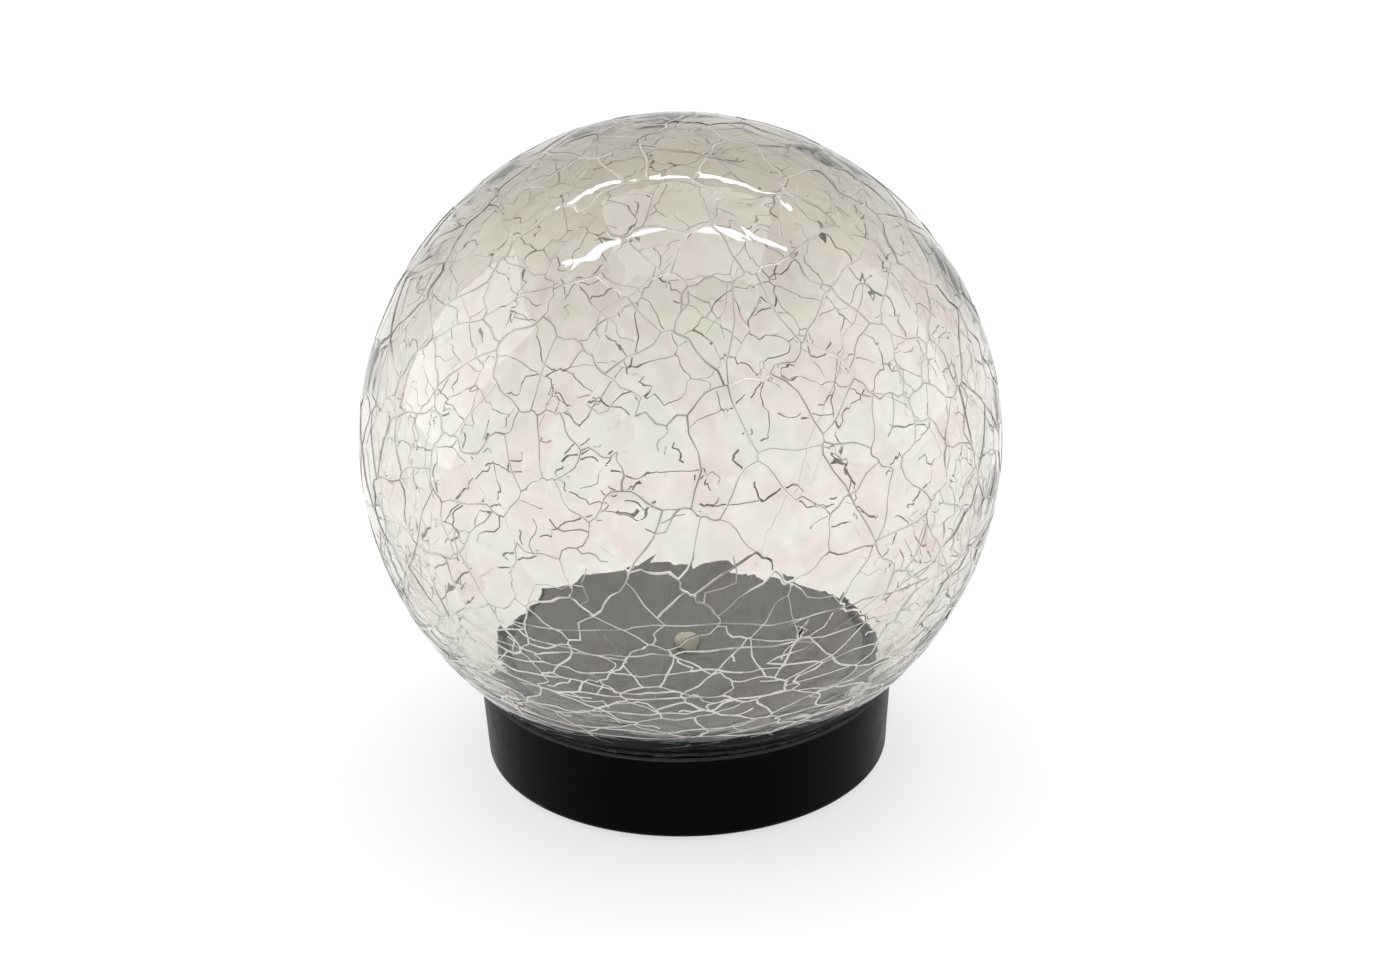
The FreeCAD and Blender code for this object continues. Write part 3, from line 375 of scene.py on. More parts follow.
# %% Hull of points on a ball


def unit(vectors):
    """Each vector divided by its length. One of no length comes out as not a number."""
    return vectors / np.linalg.norm(vectors, axis=-1, keepdims=True)


def hull_of(points):
    """Triangles of the hull of points on a ball, with their corners in order seen from outside."""
    mesh = bpy.data.meshes.new("hull")
    mesh.from_pydata(points, [], [])
    work = bmesh.new()
    work.from_mesh(mesh)
    bmesh.ops.convex_hull(work, input=work.verts)
    work.to_mesh(mesh)
    work.free()
    corners = np.zeros(len(mesh.loops), int)
    mesh.loops.foreach_get("vertex_index", corners)
    bpy.data.meshes.remove(mesh)
    corners = corners.reshape(-1, 3)
    a, b, c = (points[corners[:, k]] for k in range(3))
    inside_out = np.einsum("ij,ij->i", np.cross(b - a, c - a), a) < 0
    corners[inside_out] = corners[inside_out][:, ::-1]
    return corners


print("a hull of six points has", len(hull_of(np.concatenate([np.eye(3), -np.eye(3)]))), "faces")

# %% [markdown]
# ## From triangles to cells
# Each side of a triangle belongs to one cell and looks across at another, so a list of all sides
# is a list of cracks, in which every crack stands twice: once for the cell on each of its sides.

# %% Cells on a ball


def cells_of(points):
    """Corners where three cells meet, and for each side of a cell, the cell that owns it, the
    cell across it, the corners where it starts and ends, and the same side seen from across."""
    triangles = hull_of(points)
    a, b, c = (points[triangles[:, k]] for k in range(3))
    meets = unit(np.cross(b - a, c - a))
    owner = triangles.ravel()
    other = triangles[:, [1, 2, 0]].ravel()
    home = np.repeat(np.arange(len(triangles)), 3)
    label = owner * len(points) + other
    order = np.argsort(label)
    twin = order[np.searchsorted(label[order], other * len(points) + owner)]
    return meets, owner, other, home[twin], home, twin


def once_each(twin):
    """The numbers of the sides that take each crack once, and not from both of its cells."""
    return np.flatnonzero(np.arange(len(twin)) < twin)


def middles(points, meets, owner, home):
    """The middle of each cell: the mean of its corners."""
    total = np.zeros_like(points)
    np.add.at(total, owner, meets[home])
    return unit(total)


print("cells, cracks and middles can be worked out")

# %% [markdown]
# ## Main cells
# Points that step down a ball and turn by the golden angle each time are spread evenly. Two
# small waves sway them, so that the main cells aren't all alike.

# %% Main cells
MAIN_CELLS = 64
GOLDEN_TURN, SWAY_TURN, SWAY_LIFT = 137.508, 9.0, 0.011
TURN_WAVE, LIFT_WAVE = 3.1, 7.3


def spiral(count):
    """Middles that spiral down the ball. The lift of number i is 1 - 2 (i + 0.5) / count, each
    turns on by the golden turn, and small waves sway both."""
    step = np.arange(count)
    lift = 1 - 2 * (step + 0.5) / count + SWAY_LIFT * np.sin(LIFT_WAVE * step)
    turn = np.radians(step * GOLDEN_TURN + SWAY_TURN * np.sin(TURN_WAVE * step))
    level = np.sqrt(np.maximum(0.0, 1 - lift * lift))
    return np.stack([level * np.cos(turn), level * np.sin(turn), lift], axis=-1)


main = spiral(MAIN_CELLS)
meets, owner, other, starts, ends, twin = cells_of(main)
first = once_each(twin)
print(len(main), "main cells with", len(first), "main cracks")

# %% [markdown]
# # Finer cells along the main cracks
# A crack lies half way between two points. So a pair of points, mirrored in a main crack, keeps
# that crack in the finer net, and the space between is split into smaller cells. Pairs stand at
# one place along a short main crack and at two along a longer one, a few are left out, and one
# more point is strewn near the middle of each main cell. A point that comes too near an earlier
# one is dropped, because it would make a sliver of a cell. Cells of many sizes come out, joined
# by long lines. All lengths here are shares of the ball's radius.

# %% Pairs of points
NO_LIMIT = 9.0
SHORTEST, LONG = 0.07, 0.29
PAIRS = ((SHORTEST, LONG, 0.5), (LONG, NO_LIMIT, 0.26), (LONG, NO_LIMIT, 0.74))
LEFT_OUT = 0.07
SLIDE = 0.12
AWAY_LEAST, AWAY_MOST = 0.045, 0.085
MIDDLE_SWAY = 0.05
TOO_NEAR = 0.062

from_corner, to_corner = meets[starts[first]], meets[ends[first]]
length = np.linalg.norm(to_corner - from_corner, axis=-1)
strewn = [unit(main + MIDDLE_SWAY * random.normal(size=main.shape))]
for low, high, at in PAIRS:
    kept = (length > low) & (length <= high) & (random.uniform(size=len(length)) > LEFT_OUT)
    share = at + random.uniform(-SLIDE, SLIDE, size=(kept.sum(), 1))
    middle = unit(from_corner[kept] + share * (to_corner[kept] - from_corner[kept]))
    sideways = unit(np.cross(middle, to_corner[kept] - from_corner[kept]))
    away = random.uniform(AWAY_LEAST, AWAY_MOST, size=(len(middle), 1))
    strewn += [unit(middle + away * sideways), unit(middle - away * sideways)]
print(sum(len(points) for points in strewn), "points are strewn")

# %% Net of the finer cells
seeds = np.concatenate(strewn)
apart = np.linalg.norm(seeds[:, None] - seeds[None], axis=-1) + NO_LIMIT * np.tri(len(seeds))
seeds = seeds[apart.min(axis=0) > TOO_NEAR]
meets, owner, other, starts, ends, twin = cells_of(seeds)
first = once_each(twin)
print(len(seeds), "cells,", len(meets), "corners,", len(first), "cracks")

# %% [markdown]
# # Cracks that wander
# A real crack is never straight. Each gets a sideways wave that is a sum of three sine waves of
# random height, which leaves both of its ends where they are. A narrow cell has less room, so
# its waves are lower. A line must not turn back on the middle of its own cell, or the tile that
# is spanned between them would fold, so the waves of such lines are eased a few times over. What
# is left at the end are cracks of hardly any length, at places where four cells meet.

# %% Waves along a line
STEPS = 5
fraction = np.linspace(0.0, 1.0, STEPS + 1)
waves = np.sin(np.pi * np.outer([1, 2, 3], fraction))


def wandering(start, end, sideways, amounts):
    """A line from start to end plus sideways * length * (a sin pu + b sin 2pu + c sin 3pu)."""
    length = np.linalg.norm(end - start, axis=-1)[:, None, None]
    straight = start[:, None] + fraction[:, None] * (end - start)[:, None]
    return unit(straight + sideways[:, None] * length * (amounts @ waves)[..., None])


print("each crack has", STEPS, "short runs")

# %% Lines that turn back
INWARD_LIMIT = 0.12


def turns_back(lines, middle):
    """True where some run of a line heads within 7 degrees of its cell's middle, or past it."""
    run = unit(lines[:, 1:] - lines[:, :-1])
    inward = unit(middle[:, None] - lines[:, :-1])
    sine = np.einsum("ijk,ijk->ij", np.cross(run, inward), lines[:, :-1])
    return (sine < INWARD_LIMIT).any(axis=1)


print("the limit is", round(math.degrees(math.asin(INWARD_LIMIT)), 1), "degrees")

# %% Cracks of the net
WANDER = (0.09, 0.06, 0.04)
ROOM = 0.8
ROUNDS, EASED = 5, 0.4
wander = random.normal(size=(len(first), 3)) * WANDER
across = seeds[other[first]] - seeds[owner[first]]
apart = np.linalg.norm(across, axis=-1)
length = np.linalg.norm(meets[starts[first]] - meets[ends[first]], axis=-1)
wander *= np.clip(ROOM * apart / length, 0.0, 1.0)[:, None]
centres = middles(seeds, meets, owner, ends)
for _ in range(ROUNDS):
    cracks = wandering(meets[starts[first]], meets[ends[first]], unit(across), wander)
    bent = turns_back(cracks, centres[owner[first]])
    bent |= turns_back(cracks[:, ::-1], centres[other[first]])
    wander[bent] *= EASED
    print(bent.sum(), "cracks bend too far and are eased")
sides = np.zeros((len(owner), STEPS + 1, 3))
sides[first] = cracks
sides[twin[first]] = cracks[:, ::-1]

# %% [markdown]
# # Flatter cells low down
# Where the ball was drawn in to its neck, the glass was stretched round and the cells are wide
# and low. The net is made with even cells and then pressed down: a table says to which angle
# from the top each angle goes.

# %% Table of angles
TABLE_EVEN = np.radians([0.0, 40.0, 81.0, 104.0, 162.0, 180.0])
TABLE_REAL = np.radians([0.0, 45.0, 92.0, 112.0, 140.3, 180.0])
TINY = 1e-9


def settled(ways, even=TABLE_EVEN, real=TABLE_REAL):
    """Directions whose angle from the top has gone through the table of even and real angles."""
    angle = np.interp(np.arccos(np.clip(ways[..., 2], -1, 1)), even, real)
    level = np.linalg.norm(ways[..., :2], axis=-1, keepdims=True)
    flat = ways[..., :2] / np.maximum(level, TINY) * np.sin(angle)[..., None]
    return np.concatenate([flat, np.cos(angle)[..., None]], axis=-1)


cracks, sides, centres = settled(cracks), settled(sides), settled(centres)
stretch = np.diff(TABLE_REAL) / np.diff(TABLE_EVEN)
print("from the top down, the cells grow in height by", stretch.round(2))

# %% [markdown]
# # The glass
# The ball is one closed skin: outside it follows the cells, then it turns in at the foot of the
# neck and comes back up as the smooth inside. Each cell is a nearly flat tile that leans a
# little its own way, with a narrow shoulder that slopes down to the groove round it. So each
# bends what is seen through it in its own way, and that is what breaks up the edge of the panel.
# A bump in the material would look much the same from the front, but the outline of the ball
# would stay smooth and the meshes would lack the relief. All of it lies inside the true ball,
# and dies out at the neck, which is smooth.

# %% Measures of the glass
REACH = np.array([60.0, 60.0, 61.0]) * MM
WALL = 2.5 * MM
NECK_TOP, NECK_FOOT = 17.7 * MM, 13.7 * MM
NECK_RADIUS, NECK_BORE = 38.3 * MM, 35.8 * MM
HOLLOW_FOOT = 18.87 * MM
FADE = 14.0 * MM


def height_of(ways):
    """How high over the floor the skin of the ball lies in a direction from its centre."""
    return BALL_CENTRE[2] + ways[..., 2] * REACH[2]


def on_ball(ways, depth):
    """Centre + direction * (reach - depth): a point that lies depth under the skin of the ball."""
    return BALL_CENTRE + ways * (REACH - depth[..., None])


def fading(ways):
    """0 at the top of the neck, rising smoothly to 1 within the fade: 3 t t - 2 t t t."""
    t = np.clip((height_of(ways) - NECK_TOP) / FADE, 0.0, 1.0)
    return t * t * (3.0 - 2.0 * t)


print("the wall is", round(WALL / MM, 2), "mm thick, and its relief fades over", FADE / MM, "mm")

# %% Tiles
GROOVE = 0.12 * MM
TILE_DEPTH, TILE_SWING, TILE_LEAN = 0.090 * MM, 0.080 * MM, 0.030
TILE_OFFSET = 0.02
SHOULDER, SHOULDER_MOST = 0.14 * MM, 0.3
RING_SHARES = (0.0, 0.05, 0.45, 1.0)
LEAST_GAP = 1e-6
slope = TILE_LEAN * random.normal(size=centres.shape)
slope -= np.einsum("ij,ij->i", slope, centres)[:, None] * centres
offset = random.uniform(-TILE_OFFSET, TILE_OFFSET, size=len(seeds)) * MM
inner = centres[owner][:, None]
gap = np.linalg.norm(inner - sides, axis=-1, keepdims=True)
shoulder = np.clip(SHOULDER / REACH[0] / np.maximum(gap, LEAST_GAP), 0.0, SHOULDER_MOST)
print("tiles lean by", TILE_LEAN, "and lie about", round(TILE_DEPTH / MM, 3), "mm deep")

# %% [markdown]
# ## Rings of a tile
# A tile is spanned between each side of its cell and the middle: the first ring of points lies
# in the groove, the second at the top of the shoulder, and the last is the middle itself. The
# lean gives each point its depth, and tanh, which levels off at 1, keeps even a strong lean from
# lifting a tile over the true ball.

# %% Points of the tiles
rings = [on_ball(sides, GROOVE * fading(sides))]
for share in RING_SHARES:
    way = unit(sides + (shoulder + share * (1 - shoulder)) * (inner - sides))
    swing = offset[owner][:, None] + REACH[0] * np.einsum("ijk,ik->ij", way, slope[owner])
    depth = TILE_DEPTH + TILE_SWING * np.tanh(swing / TILE_SWING)
    rings.append(on_ball(way, depth * fading(way)))
tiles = np.stack(rings, axis=1)
print("tile points", tiles.shape)

# %% [markdown]
# ## One skin from many tiles
# The tiles share their outer points, so these are merged. The skin is then cut off level at the
# top of the neck, and what hangs below is thrown away. Points that come very close together on
# the cut are merged too, and the rest of the rim is moved on to the true circle of the neck.

# %% Skin of tiles
SAME_POINT, ON_THE_CUT, RIM_GAP = 1e-6, 1e-7, 0.12 * MM
sectors, levels, width = tiles.shape[:3]
index = np.arange(sectors * levels * width).reshape(sectors, levels, width)
quads = np.stack(
    [index[:, :-1, :-1], index[:, :-1, 1:], index[:, 1:, 1:], index[:, 1:, :-1]], axis=-1)
mesh = bpy.data.meshes.new("tiles")
mesh.from_pydata(tiles.reshape(-1, 3), [], quads.reshape(-1, 4).tolist())
work = bmesh.new()
work.from_mesh(mesh)
bmesh.ops.remove_doubles(work, verts=work.verts, dist=SAME_POINT)
bmesh.ops.bisect_plane(
    work, geom=work.verts[:] + work.edges[:] + work.faces[:], dist=ON_THE_CUT,
    plane_co=(0, 0, NECK_TOP), plane_no=(0, 0, 1), clear_inner=True,
)
rim = [v for v in work.verts if v.is_boundary]
bmesh.ops.remove_doubles(work, verts=rim, dist=RIM_GAP)
work.verts.index_update()
rim = np.array([v.index for v in work.verts if v.is_boundary])
work.to_mesh(mesh)
work.free()
print("skin", len(mesh.polygons), "faces and a rim of", len(rim), "points")

# %% Rim on the circle of the neck
skin = np.zeros(len(mesh.vertices) * 3)
mesh.vertices.foreach_get("co", skin)
skin = skin.reshape(-1, 3)
faces = [list(p.vertices) for p in mesh.polygons]
bpy.data.meshes.remove(mesh)
around = np.arctan2(skin[rim, 1], skin[rim, 0])
rim = rim[np.argsort(around)]
around = np.sort(around)
skin[rim, 0], skin[rim, 1] = NECK_RADIUS * np.cos(around), NECK_RADIUS * np.sin(around)
skin[rim, 2] = NECK_TOP
print("the widest gap on the rim is", round(np.degrees(np.diff(around)).max(), 2), "degrees")

# %% [markdown]
# # The neck and the inside
# Below the rim the glass is smooth: a straight neck with a rounded lip at its foot, a bore, and
# then the hollow of the ball. It is turned as on a lathe, from rings of evenly spaced points.
# Blown glass is never quite even, so the hollow gets a gentle ripple, which fades at the neck.

# %% Ripple of the hollow
RIPPLE_WAVES, RIPPLE_PITCH, RIPPLE_DEPTH = 7, 11, 0.12 * MM
ANY_PHASE = 6.3
RIPPLES = [
    (random.normal(size=3) * RIPPLE_PITCH, random.uniform(0, ANY_PHASE))
    for _ in range(RIPPLE_WAVES)
]


def ripple(ways):
    """The mean of a few sine waves along headings of their own: sin(way . heading + phase)."""
    total = np.zeros(ways.shape[:-1])
    for heading, phase in RIPPLES:
        total += np.sin(ways @ heading + phase)
    return total / len(RIPPLES)


print(len(RIPPLES), "waves make a ripple up to", round(RIPPLE_DEPTH / MM, 2), "mm deep")

# %% Rings of the neck and the hollow
COLUMNS = 240
LIP_POINTS, BORE_POINTS, HOLLOW_POINTS = 9, 5, 46
even = 2 * math.pi * (np.arange(COLUMNS) / COLUMNS - 0.5)
spin = np.stack([np.cos(even), np.sin(even)], axis=-1)
lip_radius = (NECK_RADIUS - NECK_BORE) / 2
lip_turn = np.linspace(0.0, math.pi, LIP_POINTS)
lip_out = NECK_BORE + lip_radius * (1 + np.cos(lip_turn))
lip_up = NECK_FOOT + lip_radius * (1 - np.sin(lip_turn))
low_angle = math.acos((HOLLOW_FOOT - BALL_CENTRE[2]) / (REACH[2] - WALL))
hollow = np.linspace(low_angle, 0.0, HOLLOW_POINTS)[1:-1]


def ring(radius, height):
    """A level circle of points: (radius cos a, radius sin a, height) for each even turn a."""
    return np.concatenate([spin * radius, np.full((COLUMNS, 1), height)], axis=1)


inside = [ring(radius, height) for radius, height in zip(lip_out, lip_up)]
bore = np.linspace(NECK_FOOT + lip_radius, HOLLOW_FOOT, BORE_POINTS)[1:]
inside += [ring(NECK_BORE, height) for height in bore]
for angle in hollow:
    way = ring(math.sin(angle), math.cos(angle))
    inside.append(on_ball(way, WALL + RIPPLE_DEPTH * ripple(way) * fading(way)))
inside = np.array(inside)
top = on_ball(np.array([[0.0, 0.0, 1.0]]), np.array([WALL]))
print("inside", inside.shape, "from", round(math.degrees(low_angle), 1), "degrees up to the top")

# %% [markdown]
# ## Closing the skin
# The rim has as many points as the cracks gave it, and the first ring below it has evenly spaced
# ones, so plain rows of four-sided faces can't join them. A belt of triangles can: each gap on
# the rim is joined to the latest even point before its end, and each gap between even points to
# the latest point of the rim. Walking round by angle, the triangles fit without a hole.

# %% One closed skin
start = len(skin)
loops = start + np.arange(inside.size // 3).reshape(-1, COLUMNS)
following = np.roll(loops, -1, axis=1)
latest_even = loops[0][np.searchsorted(even, around) - 1]
latest_rim = rim[np.searchsorted(around, even, side="right") - 1]
belt = np.concatenate([
    np.stack([np.roll(rim, 1), latest_even, rim], axis=-1),
    np.stack([latest_rim, np.roll(loops[0], 1), loops[0]], axis=-1),
])
walls = np.stack([loops[:-1], loops[1:], following[1:], following[:-1]], axis=-1).reshape(-1, 4)
pole = start + inside.size // 3
cap = np.stack([loops[-1], np.full(COLUMNS, pole), following[-1]], axis=-1)
points = np.concatenate([skin, inside.reshape(-1, 3), top])
faces += belt.tolist() + walls.tolist() + cap.tolist()
print(len(belt), "triangles in the belt,", len(faces), "faces in all")

# %% [markdown]
# ## The glass as a piece
# The new skin stands in for the plain glass ball of the frame and rides on the same body. Light
# is bent rightly only by a skin that is closed and faces outward, so its open edges are counted
# and its volume is measured.

# %% The glass as a piece


def piece(name, points, faces, body="base", smooth=True):
    """A new object at the origin with these points and faces, which rides on a body."""
    mesh = bpy.data.meshes.new(name)
    mesh.from_pydata(points, [], faces)
    mesh.polygons.foreach_set("use_smooth", np.full(len(mesh.polygons), smooth))
    mesh.validate()
    mesh.update()
    made = bpy.data.objects.new(name, mesh)
    scene.collection.objects.link(made)
    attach(made, body)
    return made


def measured(made):
    """Prints how many faces and open edges a piece has, and its volume in cubic metres."""
    work = bmesh.new()
    work.from_mesh(made.data)
    open_edges = sum(not edge.is_manifold for edge in work.edges)
    volume = work.calc_volume(signed=True)
    print(made.name, len(work.faces), "faces,", open_edges, "open edges, volume", volume)
    work.free()


crackle_globe = piece("crackle_globe", points, faces)
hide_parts("glass_globe")
measured(crackle_globe)

# %% [markdown]
# # The cracks in the glass
# A crack isn't only a groove: it catches the light as a fine line. Over the dark panel the lines
# look nearly white, and higher up, in front of the pale room, they look grey. Each is made as a
# shallow wedge with three points to a section, two just under the skin and one deeper in. Most
# cracks of the net get one. Low down at the back few do, because lines there would cross the far
# edge of the panel, which is broken up by the tiles alone.

# %% Cracks that show
BACK_BELOW = 50 * MM
HIDDEN_BACK, HIDDEN = 0.75, 0.06
low_behind = (cracks[:, 0, 1] > 0.0) & (height_of(cracks[:, 0]) < BACK_BELOW)
hidden = random.uniform(size=len(cracks)) < np.where(low_behind, HIDDEN_BACK, HIDDEN)
lines = cracks[~hidden]
print(len(lines), "cracks of the net show")

# %% [markdown]
# ## Short cracks
# Not every crack runs from corner to corner. Some start half way along one side of a cell, head
# roughly for its middle and die out there.

# %% Short cracks
SHORT_SHARE = 0.08
REACH_LEAST, REACH_MOST = 0.5, 1.5
ASIDE = 0.5
SHORT_WANDER = (0.12, 0.08, 0.05)
chosen = random.uniform(size=len(owner)) < SHORT_SHARE
stubs = sides[chosen][:, STEPS // 2]
towards = centres[owner[chosen]]
reach = random.uniform(REACH_LEAST, REACH_MOST, size=(len(stubs), 1))
turn = np.cross(stubs, towards - stubs) * random.normal(size=(len(stubs), 1)) * ASIDE
finish_at = unit(stubs + reach * (towards - stubs) + turn)
lean = unit(np.cross(stubs, finish_at - stubs))
amounts = random.normal(size=(len(stubs), 3)) * SHORT_WANDER
short = wandering(stubs, finish_at, lean, amounts)
print(len(short), "short cracks")

# %% [markdown]
# ## Long low cracks
# Where the ball draws in to its neck, long cracks run round it and cross the front of the panel
# nearly level. They are a net of their own. Points are strewn over a whole ball and moved to the
# middles of their cells twice, which evens the cells out, and a table of angles then presses the
# net into a low band, so that every cell is drawn out lengthwise. Cracks that stand upright are
# thinned out more than level ones, and hardly any are kept at the back.

# %% Net of the low band
BAND_CELLS, BAND_ROUNDS = 150, 2
BAND_EVEN = np.radians([0.0, 30.0, 150.0, 180.0])
BAND_REAL = np.radians([95.0, 98.0, 131.0, 134.0])
BAND_WANDER = (0.10, 0.08, 0.05)
band = unit(random.normal(size=(BAND_CELLS, 3)))
for _ in range(BAND_ROUNDS):
    band_meets, band_owner, _, _, band_ends, _ = cells_of(band)
    band = middles(band, band_meets, band_owner, band_ends)
band_meets, band_owner, band_other, band_starts, band_ends, band_twin = cells_of(band)
once = once_each(band_twin)
begin, stop = band_meets[band_starts[once]], band_meets[band_ends[once]]
lean = unit(band[band_other[once]] - band[band_owner[once]])
amounts = random.normal(size=(len(once), 3)) * BAND_WANDER
flowing = settled(wandering(begin, stop, lean, amounts), BAND_EVEN, BAND_REAL)
print(len(flowing), "cracks in the low band")

# %% Cracks of the band that show
UPRIGHT, KEPT_UPRIGHT, KEPT_LEVEL = 0.7, 0.5, 0.92
FRONT, KEPT_FRONT, KEPT_BACK = -0.1, 1.0, 0.06
BAND_EDGE = 0.88
LOWEST_LEAST, LOWEST_MOST = 23.0, 26.5
tall = np.abs(begin[:, 2] - stop[:, 2]) > UPRIGHT * np.linalg.norm(begin - stop, axis=-1)
inside_band = (np.abs(begin[:, 2]) < BAND_EDGE) & (np.abs(stop[:, 2]) < BAND_EDGE)
in_front = np.cos(np.arctan2(begin[:, 1], begin[:, 0]) + math.pi / 2)
chance = np.where(tall, KEPT_UPRIGHT, KEPT_LEVEL)
chance = chance * np.where(in_front > FRONT, KEPT_FRONT, KEPT_BACK)
kept = random.uniform(size=len(once)) < chance
lines = np.concatenate([lines, short, flowing[kept & inside_band]])
lowest = random.uniform(LOWEST_LEAST, LOWEST_MOST, size=len(lines)) * MM
lines = lines[height_of(lines).min(axis=1) > lowest]
print(len(lines), "crack leaves stay clear of the neck")

# %% [markdown]
# ## Wedges
# A section is set square to the line at each of its points: two points beside the line under a
# thin roof of glass, and one deeper in. The width differs from crack to crack, wavers along each
# one, and grows low down, where the long cracks cross the front of the panel.
#
# A known fault lies here. Some cracks have hardly any length, where four cells meet, and two
# points of such a line can be the same. It has no direction there, so its section has no place,
# and Blender sets points without a place at the origin. That leaves a few slivers, a quarter of
# a millimetre wide at the skin, that run down to a point under the base. Leaving out every crack
# that is shorter than its wedge is wide would mend it.

# %% Wedges along the cracks
LEAF_ROOF, LEAF_DEPTH, HALF_WIDTH = 0.04 * MM, 0.15 * MM, 0.12 * MM
FINE, BOLD = 0.55, 1.35
RAGGED_LEAST, RAGGED_MOST = 0.7, 1.25
BOLDER_LOW, LOW_FROM, LOW_OVER = 0.6, 0.056, 0.016
along = unit(np.gradient(lines, axis=1))
beside = unit(np.cross(lines, along))
low_down = np.clip((LOW_FROM - height_of(lines)) / LOW_OVER, 0.0, 1.0)
bold = HALF_WIDTH * random.uniform(FINE, BOLD, size=(len(lines), 1))
bold = bold * (1.0 + BOLDER_LOW * low_down)
ragged = bold * random.uniform(RAGGED_LEAST, RAGGED_MOST, size=lines.shape[:2])
roof = LEAF_ROOF * fading(lines)
level = on_ball(lines, roof)
shift = beside * ragged[..., None]
sections = np.stack([level - shift, level + shift, on_ball(lines, roof + LEAF_DEPTH)], axis=2)
lost = np.isnan(sections).any(axis=-1)
print(sections.shape[0], "wedges, with", lost.sum(), "points that have no place, in",
      lost.any(axis=(1, 2)).sum(), "of them")

# %% [markdown]
# ## Skin of the wedges
# Three strips of faces run along each wedge, and a triangle closes each end. The strip that
# looks out is the roof, and the other two are the sides, which are seen through the ball from
# within. They get a finish of their own, by the number of their material.

# %% The cracks as a piece
ROOF_FINISH, SIDE_FINISH = 0, 1
total, stations = sections.shape[:2]
index = np.arange(total * stations * 3).reshape(total, stations, 3)
near, far = index[:, :-1], index[:, 1:]
near_next, far_next = np.roll(near, -1, axis=2), np.roll(far, -1, axis=2)
walls = np.stack([near, far, far_next, near_next], axis=-1).reshape(-1, 4)
caps = np.concatenate([index[:, 0], index[:, -1, ::-1]])
faces = walls.tolist() + caps.tolist()
crack_leaves = piece("crack_leaves", sections.reshape(-1, 3), faces, smooth=False)
finish_of = np.full(len(faces), SIDE_FINISH)
finish_of[:len(walls):3] = ROOF_FINISH
crack_leaves.data.polygons.foreach_set("material_index", finish_of)
measured(crack_leaves)

# %% [markdown]
# # Finish of the glass
# The wall is clear glass with a faint green and straw colour, which shows only where one looks
# along it, at the rim. That colour comes from what the glass swallows on the way, so it is a
# volume, and the shader itself is a plain one for transmission. The cells differ a little, some
# rosy and some green, so the base colour wanders slowly, and the crown of the ball is greyer.

# %% Glass
ROSY, CLEAR = colour(0.925, 0.87, 0.865), colour(0.985, 0.97, 0.955)
GREENISH = colour(0.915, 0.93, 0.89)
CROWN, SWALLOWED = colour(0.68, 0.655, 0.60), colour(0.80, 0.79, 0.73)
CROWN_FROM, CROWN_TO = 0.085, 0.122
CLOUD_SCALE, DENSITY = 110, 165.0
material, tree, shader = new_finish(
    "crackle_glass", Roughness=0.0, IOR=1.5, Transmission_Weight=1.0
)
tint = ramp(tree, noise(tree, CLOUD_SCALE, 1.0), (0.38, ROSY), (0.5, CLEAR), (0.62, GREENISH))
crown = spread(tree, along_axis(tree, "Z"), 0.0, 1.0, CROWN_FROM, CROWN_TO)
wire(tree, mix(tree, crown, tint, CROWN), shader, "Base Color")
swallow = add(tree, "VolumeAbsorption", {"Color": SWALLOWED, "Density": DENSITY})
wire(tree, swallow.outputs[0], tree.nodes["Material Output"], "Volume")
crackle_globe.data.materials.append(material)
print("the glass swallows light with a density of", DENSITY)

# %% [markdown]
# ## Finish of the cracks
# The inside of a crack is rough and scatters light, so it is painted as a matt surface and not
# as glass. The roofs carry painted light and shade: they are pale low down, where they stand over
# the dark panel, and a cloudy grey higher up, where they stand against the pale room. The sides
# are seen through the ball from within and are pale all over, which keeps the far wall quiet.

# %% Finish of the cracks
PALE_LINE = colour(0.74, 0.73, 0.68)
DARK_LINE, GREY_LINE = colour(0.27, 0.25, 0.235), colour(0.52, 0.49, 0.46)
DIM_SIDE, BRIGHT_SIDE = colour(0.70, 0.68, 0.65), colour(0.92, 0.91, 0.88)
PALE_UP_TO, GREY_FROM = 0.046, 0.070
material, tree, shader = new_finish("crack_painted_glint", Roughness=0.35, Specular_IOR_Level=0.3)
# painted light and shade: the roofs run from pale low down to grey higher up
painted_light_by_height = spread(tree, along_axis(tree, "Z"), 0.0, 1.0, PALE_UP_TO, GREY_FROM)
upper = between(tree, noise(tree, CLOUD_SCALE), DARK_LINE, GREY_LINE)
wire(tree, mix(tree, painted_light_by_height, PALE_LINE, upper), shader, "Base Color")
crack_leaves.data.materials.append(material)
material, tree, shader = new_finish("crack_depth", Roughness=0.5, Specular_IOR_Level=0.1)
cloud = between(tree, noise(tree, CLOUD_SCALE), DIM_SIDE, BRIGHT_SIDE)
wire(tree, cloud, shader, "Base Color")
crack_leaves.data.materials.append(material)
print("the cracks have", len(crack_leaves.data.materials), "finishes")

# %% [markdown]
# # Plastic, rubber and metal
# Most of the other parts are plain industrial finishes. One recipe serves them: two close
# colours mixed by a cloud, a roughness that wanders, and a fine grain raised by a bump. What
# differs is the scale and the depth of the grain, and those numbers stand together in a table.
# Metal has a recipe of its own, with a grain that is drawn out along the part.

